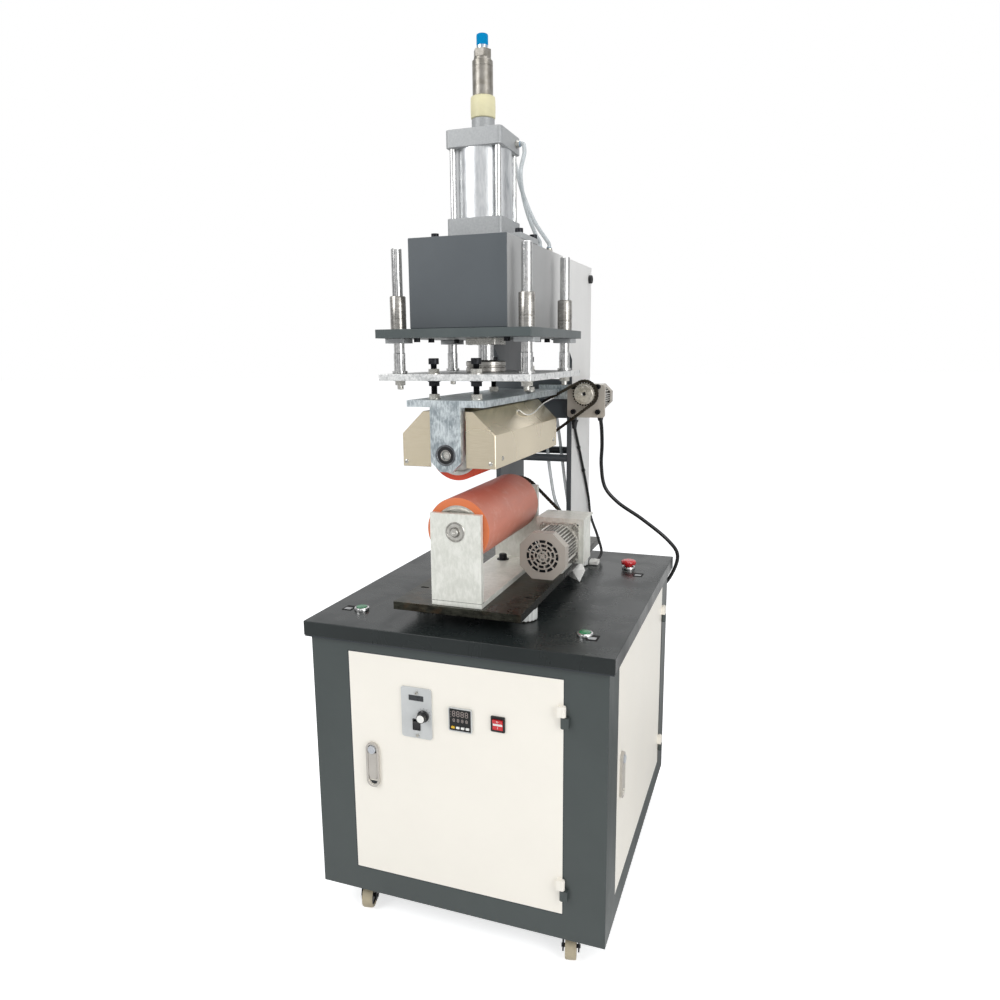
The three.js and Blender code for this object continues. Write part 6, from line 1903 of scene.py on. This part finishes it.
# %% [markdown]
# Fittings
# An air tube is pushed into a fitting: a hexagon nut, a round body and a pale collet. All three
# are turned or pushed about one axis, so one function sets them wherever a tube ends.

# %% Fittings
PORT_Z = 1574


def fitting(name, at, axis):
    frame_of = turned_axis(axis, at)
    bm = bmesh.new()
    add_pushed(bm, ngon(7.6, 6), [], 4.2, frame_of)
    add_turned(bm, [(0, 4), (6.2, 4), (6.2, 7), (5.6, 7.8), (0, 7.8)], frame_of, 32)
    given(piece_of(name, bm, 0.3, 1), nut_zinc, "machine")
    collet = lathe(name + "_collet", [(4.1, 7.4), (5.4, 7.4), (5.4, 9), (4.9, 9.6), (4.1, 9.6)], axis, at, 32)
    given(collet, blue_plastic, "machine")


fitting("cylinder_fitting", (CAP_HALF + 0.1, -124, PORT_Z), "x")
fitting("head_fitting", (72, -18, HEAD_Z + 0.4), "z")
for i, x in enumerate((22, 46)):
    fitting("post_fitting_%d" % (i + 1), (x, 172.1, 1068), "y")
print("fittings", 4)

# %% [markdown]
# Piston rod
# The rod carries, from above, a blue cap, a hexagon nut, a steel sleeve and a rubber bumper that
# stops the stroke on the cylinder; below, a grooved round nut joins it to the drive plate. All of
# it moves with the carriage. The rod itself passes through the cylinder.

# %% Piston rod


def on_rod(name, profile, segments, material, nodes=()):
    piece = lathe(name, profile, "z", (0, PRESS_Y, 0), segments)
    return given(piece, material, "carriage", nodes)


BUMP_LOW, BUMP_HIGH = low("stop_bumper", 2), high("stop_bumper", 2)
ROD_TOP = high("piston_rod", 2)
SLEEVE_TOP = BUMP_HIGH + 63.3
NUT_LOW = SLEEVE_TOP + 5
NUT_TOP = NUT_LOW + 14
rod = [
    (0, DRIVE_Z + 10), (15, DRIVE_Z + 10), (15, boss_top - 60), (11, boss_top - 60), (11, ROD_TOP - 20),
    (0, ROD_TOP - 20),
]
on_rod("rod", rod, 48, rod_chrome, nodes=["piston_rod"])
bumper = [
    (11.3, BUMP_LOW), (21.5, BUMP_LOW), (23, BUMP_LOW + 1), (23.4, BUMP_LOW + 4),
    (23.75, (BUMP_LOW + BUMP_HIGH) / 2), (23.4, BUMP_HIGH - 4), (23, BUMP_HIGH - 1), (21.5, BUMP_HIGH),
    (11.3, BUMP_HIGH),
]
on_rod("bumper", bumper, 56, bumper_rubber, nodes=["stop_bumper"])
sleeve_profile = [
    (11.2, BUMP_HIGH + 0.2), (18.6, BUMP_HIGH + 0.2), (19.5, BUMP_HIGH + 1.2), (19.5, SLEEVE_TOP - 13),
    (18.9, SLEEVE_TOP - 12.4), (18.9, SLEEVE_TOP - 11), (19.5, SLEEVE_TOP - 10.4), (19.5, SLEEVE_TOP - 1.2),
    (18.4, SLEEVE_TOP), (11.2, SLEEVE_TOP),
]
on_rod("stop_sleeve", sleeve_profile, 56, sleeve_steel)
bm = bmesh.new()
place = Matrix.Translation((0, PRESS_Y * MM, 0))
add_pushed(
    bm, ngon(15 / math.cos(math.pi / 6), 6), [circle(0, 0, 11.2, 24)], NUT_TOP - NUT_LOW, place @ raised(NUT_LOW),
)
add_turned(bm, [(11.3, SLEEVE_TOP), (16.4, SLEEVE_TOP), (16.4, NUT_LOW), (11.3, NUT_LOW)], place, 40)
given(piece_of("stop_nut", bm, 0.7), sleeve_steel, "carriage")
cap = [
    (0, NUT_TOP + 0.1), (11, NUT_TOP + 0.1), (11, ROD_TOP - 2.2), (10.4, ROD_TOP - 0.8), (9, ROD_TOP - 0.1),
    (0, ROD_TOP),
]
on_rod("rod_cap", cap, 40, blue_cap)
round_nut = [
    (15.2, DRIVE_Z + 0.4), (38.6, DRIVE_Z + 0.4), (40, DRIVE_Z + 1.8), (40, DRIVE_Z + 8.6), (38.4, DRIVE_Z + 10),
    (38.4, DRIVE_Z + 12), (40, DRIVE_Z + 13.4), (40, DRIVE_Z + 20.4), (38.4, DRIVE_Z + 22.2), (26, DRIVE_Z + 22.2),
    (24, DRIVE_Z + 24), (15.2, DRIVE_Z + 24),
]
on_rod("round_nut", round_nut, 72, bushing_steel)
nut_turns = [math.pi / 4 + math.pi / 2 * i for i in range(4)]
nut_spots = [(28 * math.cos(a), PRESS_Y + 28 * math.sin(a), DRIVE_Z + 14) for a in nut_turns]
copies("round_nut_screws", m8_cap, (0, 0, 1), nut_spots, black_oxide, "carriage")
print("rod pieces", 8, "rod top", round(ROD_TOP, 1))

# %% [markdown]
# Mounting plate and bushings
# The plate under the head carries four bushings and a square gland for the piston rod. It is a
# dark milled plate, pushed with its holes; each bushing is turned, over a square flange with two
# bolts. What repeats four times is grown by the tree.

# %% Mounting plate and bushings
GUIDES = [(x * 128, PRESS_Y + y * 128) for x in SIDES for y in SIDES]
guide_holes = [circle(x, y, 11.6, 28) for x, y in GUIDES]
slab_holes = [*guide_holes, circle(0, PRESS_Y, 15.6, 28)]
upward(
    "mounting_slab", [(rounded(*plan("mounting_plate"), 2, 3), slab_holes, MOUNT_LOW_Z, MOUNT_Z)],
    0.8, slab_paint, "machine", nodes=["mounting_plate"],
)
bushing_profile = [
    (11.3, -12), (15, -12), (15, 1), (15, 20), (14.6, 20.4), (14.6, 21.2), (15, 21.6),
    (15, 60), (14.2, 61.6), (13.2, 62), (10.35, 62), (10.35, 30), (11.3, 30),
]
bushing = turned_template("bushing", bushing_profile, 40)
copies("bushings", bushing, (0, 0, 1), [(x, y, MOUNT_Z) for x, y in GUIDES], bushing_steel, "machine")
bm = bmesh.new()
add_pushed(bm, rounded(-20, -20, 20, 20, 3, 3), [circle(0, 0, 15.2, 28)], 9, UPRIGHT)
bmesh.ops.bevel(
    bm, geom=[e for e in bm.edges if e.calc_face_angle(0) > 0.9], offset=0.5 * MM, segments=1, affect="EDGES",
)
seat_flange = template("seat_flange", bm)
copies(
    "bushing_flanges", seat_flange, (0, 0, 1), [(x, y, MOUNT_LOW_Z - 9.05) for x, y in GUIDES], cap_alloy,
    "machine",
)
under_spots = [(x * 90, y, MOUNT_LOW_Z) for x in SIDES for y in (-280, -216, -88, -24)]
copies("mount_screws", m8_cap, (0, 0, -1), under_spots, black_oxide, "machine")
upward(
    "rod_gland",
    [(rounded(-32, PRESS_Y - 32, 32, PRESS_Y + 32, 5, 5), [circle(0, PRESS_Y, 15.4, 32)], MOUNT_LOW_Z - 11.8,
    MOUNT_LOW_Z)],
    0.8, nut_zinc, "machine",
)
gland_spots = [(x * 24, PRESS_Y + y * 24, MOUNT_LOW_Z - 7) for x in SIDES for y in SIDES]
copies("gland_screws", m6_cap, (0, 0, -1), gland_spots, black_oxide, "machine")
print("bushings", len(GUIDES), "screws", len(under_spots))

# %% [markdown]
# Drive plate and guide rods
# The plate on the piston rod pushes the carriage. Four chromed rods guide it; each is thicker
# below, where a nut clamps it from under the plate. Adjusting bolts set the carriage level.

# %% Drive plate and guide rods
upward(
    "drive_slab", [(rounded(*plan("drive_plate"), 2, 3), [], DRIVE_LOW_Z, DRIVE_Z)], 0.8, plate_steel, "carriage",
    nodes=["drive_plate"],
)
ROD_HIGH = high("drive_plate", 2)
ROD_LENGTH = ROD_HIGH - DRIVE_Z
rod_profile = [
    (0, 0.1), (13.5, 0.1), (14.5, 0.9), (14.5, 5), (11, 5), (11, 20), (10.5, 20.5), (10.5, 22), (11, 22.5),
    (11, 38), (10, 39), (10, ROD_LENGTH - 1.2), (8.8, ROD_LENGTH), (3.2, ROD_LENGTH), (0, ROD_LENGTH - 3),
]
guide_rod = turned_template("guide_rod", rod_profile, 40)
copies("guide_rods", guide_rod, (0, 0, 1), [(x, y, DRIVE_Z) for x, y in GUIDES], rod_chrome, "carriage")
bm = bmesh.new()
add_turned(bm, ring_profile(26, 12, 0, 1.8), UPRIGHT, 32)
add_pushed(bm, ngon(9.5 / math.cos(math.pi / 6), 6), [], 8, raised(1.8))
add_turned(bm, [(0, 9.6), (6, 9.6), (6, 17), (5.2, 18), (0, 18)], UPRIGHT, 20)
rod_nut = template("rod_nut", bm)
copies("rod_nuts", rod_nut, (0, 0, -1), [(x, y, DRIVE_LOW_Z) for x, y in GUIDES], nut_zinc, "carriage")
ADJUSTERS = [(x * 42, y) for x in SIDES for y in (PRESS_Y - 160, PRESS_Y + 156)]
THREAD_LOW, THREAD_PITCH = -46, 1.75
thread = [(0, THREAD_LOW)]
for step in range(36):
    start = THREAD_LOW + step * THREAD_PITCH
    thread += [(5.1, start), (6, start + 0.85)]
adjuster = turned_template("adjuster", [*thread, (5.2, 19), (0, 19)], 20)
copies("adjusters", adjuster, (0, 0, 1), [(x, y, DRIVE_Z) for x, y in ADJUSTERS], black_oxide, "carriage")
head_profile = [(0, 18), (9.1, 18), (9.6, 18.6), (9.6, 28), (8.9, 29), (0, 29)]
adjuster_head = turned_template("adjuster_head", head_profile, 28)
copies(
    "adjuster_heads", adjuster_head, (0, 0, 1), [(x, y, DRIVE_Z) for x, y in ADJUSTERS], black_oxide, "carriage",
)
bm = bmesh.new()
add_turned(bm, ring_profile(24, 12.2, 0, 1.6), UPRIGHT, 28)
add_pushed(bm, ngon(9.5 / math.cos(math.pi / 6), 6), [circle(0, 0, 6.1, 16)], 8, raised(1.6))
lock_nut = template("lock_nut", bm)
lock_spots = [(x, y, DRIVE_Z + 0.05) for x, y in ADJUSTERS] + [(x, y, CARRIER_Z + 0.4) for x, y in ADJUSTERS]
copies("lock_nuts", lock_nut, (0, 0, 1), lock_spots, nut_zinc, "carriage")
copies(
    "lower_lock_nuts", lock_nut, (0, 0, -1), [(x, y, DRIVE_LOW_Z) for x, y in ADJUSTERS], black_oxide, "carriage",
)
print("guide rods", len(GUIDES), "adjusters", len(ADJUSTERS))

# %% [markdown]
# Carrier, hangers and hood
# The carrier is one long galvanised plate with a hanger at each end; the upper roller turns in
# the hangers, and a folded stainless hood keeps its heat in. They are the softened solids, with
# bearings in the hangers and rivets in the hood.

# %% Carrier, hangers and hood
dressed("carrier", "carrier_plate", 0.8, zinc_steel, "carriage")
dressed("hood_sheet", "hood", 0.6, hood_steel, "carriage", segments=1)
hanger_front = low("carrier_plate", 1)
bearing("upper_front_bearing", UX, UZ, hanger_front, -1, "carriage")
bearing("upper_rear_bearing", UX, UZ, 44, 1, "carriage")
rivet = turned_template("rivet", [(0, 0), (4.3, 0), (4.1, 1.0), (2.6, 2.1), (0, 2.5)], 20)
hood_front = low("hood", 1)
front_rivets = [(ROLLER_X - 85, hood_front, UZ - 15), (ROLLER_X + 83, hood_front, UZ - 14)]
copies("front_rivets", rivet, (0, -1, 0), front_rivets, nut_zinc, "carriage")
side_rivets = [(side * 92 + ROLLER_X, hood_front + y, UZ - 8) for side in SIDES for y in (38, 374)]
for side in SIDES:
    spots = [p for p in side_rivets if (p[0] - ROLLER_X) * side > 0]
    copies(
        "side_rivets_%s" % ("left" if side < 0 else "right"), rivet, (side, 0, 0), spots, nut_zinc, "carriage",
    )
print("hood", [round(v) for v in (low("hood", 0), high("hood", 0), hood_front, high("hood", 1))])

# %% [markdown]
# Glands, ties and thin leads
# Where a cable goes through sheet metal or leaves a motor it has a black gland, with ribs that let
# it bend. A second air tube joins the upper end of the cylinder to the head from behind. A thin
# sensor lead lies on the hood. They are small, and without them the cables look glued on.

# %% Glands, ties and thin leads


def gland(name, at, axis, radius, hole, body, reach=22.0):
    """A nut and a ribbed sleeve, from the sheet outwards along the axis."""
    frame_of = turned_axis(axis, at)
    bm = bmesh.new()
    add_pushed(bm, ngon(radius * 1.25, 6), [], 5, frame_of)
    profile = [(hole, 4.8), (radius, 4.8)]
    for rib in range(5):
        start = 6 + rib * (reach - 6) / 5
        profile += [
            (radius - rib * 0.5, start), (radius - rib * 0.5, start + 1.6), (radius - rib * 0.5 - 0.9, start + 2),
        ]
    add_turned(bm, [*profile, (hole, reach)], frame_of, 28)
    return given(piece_of(name, bm, 0.3, 1), black_plastic, body)


gland("motor_gland", (140, 275, 1034), "-z", 8.6, 4.9, "carriage")
gland("rear_gland", (280, 366.8, 568), "y", 8.6, 4.9, "machine")
gland("post_gland", (101, 169, 1023), "-z", 7.4, 3.7, "machine")
bm = bmesh.new()
for place in (Vector((100.5, 214, 952)), Vector((101.5, 262, 888))):
    around = Matrix.Translation(place * MM) @ Matrix.Rotation(math.radians(38), 4, "X")
    add_turned(bm, ring_profile(9.4, 7.2, -2, 2), around, 24)
given(piece_of("cable_ties", bm), black_plastic, "machine")

return_tube_points = [
    (30, -86.4, PORT_Z), (30, -80, 1573.5), (33, -64, 1556), (45, -50, 1500),
    (64, -30, 1446), (82, -4, 1412), (86, 2, 1404), (86, 2, 1396.4),
]
fitting("cylinder_rear_fitting", (30, -95.9, PORT_Z), "y")
fitting("head_rear_fitting", (86, 2, HEAD_Z + 0.4), "z")
cord_piece("return_tube", return_tube_points, 8.0, clear_tube, [])
sensor_points = [
    (57, -127, 1063.4), (61, -126, 1065), (67, -122, 1060), (70, -104, 1054.2), (69.5, -70, 1053.6),
    (66, -30, 1056.2), (61, 10, 1061.2), (57, 48, 1065.4), (56, 66, 1068), (57, 100, 1072), (58, 141, 1076),
]
cord_piece("sensor_lead", sensor_points, 2.6, white_plastic, [], "carriage")
given(
    lathe("sensor_seat", [(0, 0), (4.4, 0), (4.4, 1.4), (3.2, 3.4), (1.4, 4), (0, 4)], "x", (55.6, -127, 1062.6),
    24), nut_zinc, "carriage",
)

tag = ((99, 119, 658), (110, 101, 655), (144, 65, 655), (143, 122, 668), (128, 144, 684), (116, 106, 668))
bm = bmesh.new()
for corners in ((0, 1, 5), (1, 2, 5), (2, 3, 5), (3, 4, 5)):
    lower_side = [Vector(tag[n]) for n in corners]
    add_prism(bm, lower_side, [p + Vector((-0.6, -0.6, 0.8)) for p in lower_side])
given(piece_of("folded_tag", bm), white_plastic, "machine")
copies(
    "speed_screws", m4_cap, (0, -1, 0), [(SX + 2, FRONT_Y - 3.1, SZ + z) for z in (42.5, -46)], nut_zinc,
    "front_door",
)
print("glands", 3, "ties", 2, "tubes", 1, "leads", 1)

# %% The end
for mesh_object in templates:
    bpy.data.objects.remove(mesh_object)
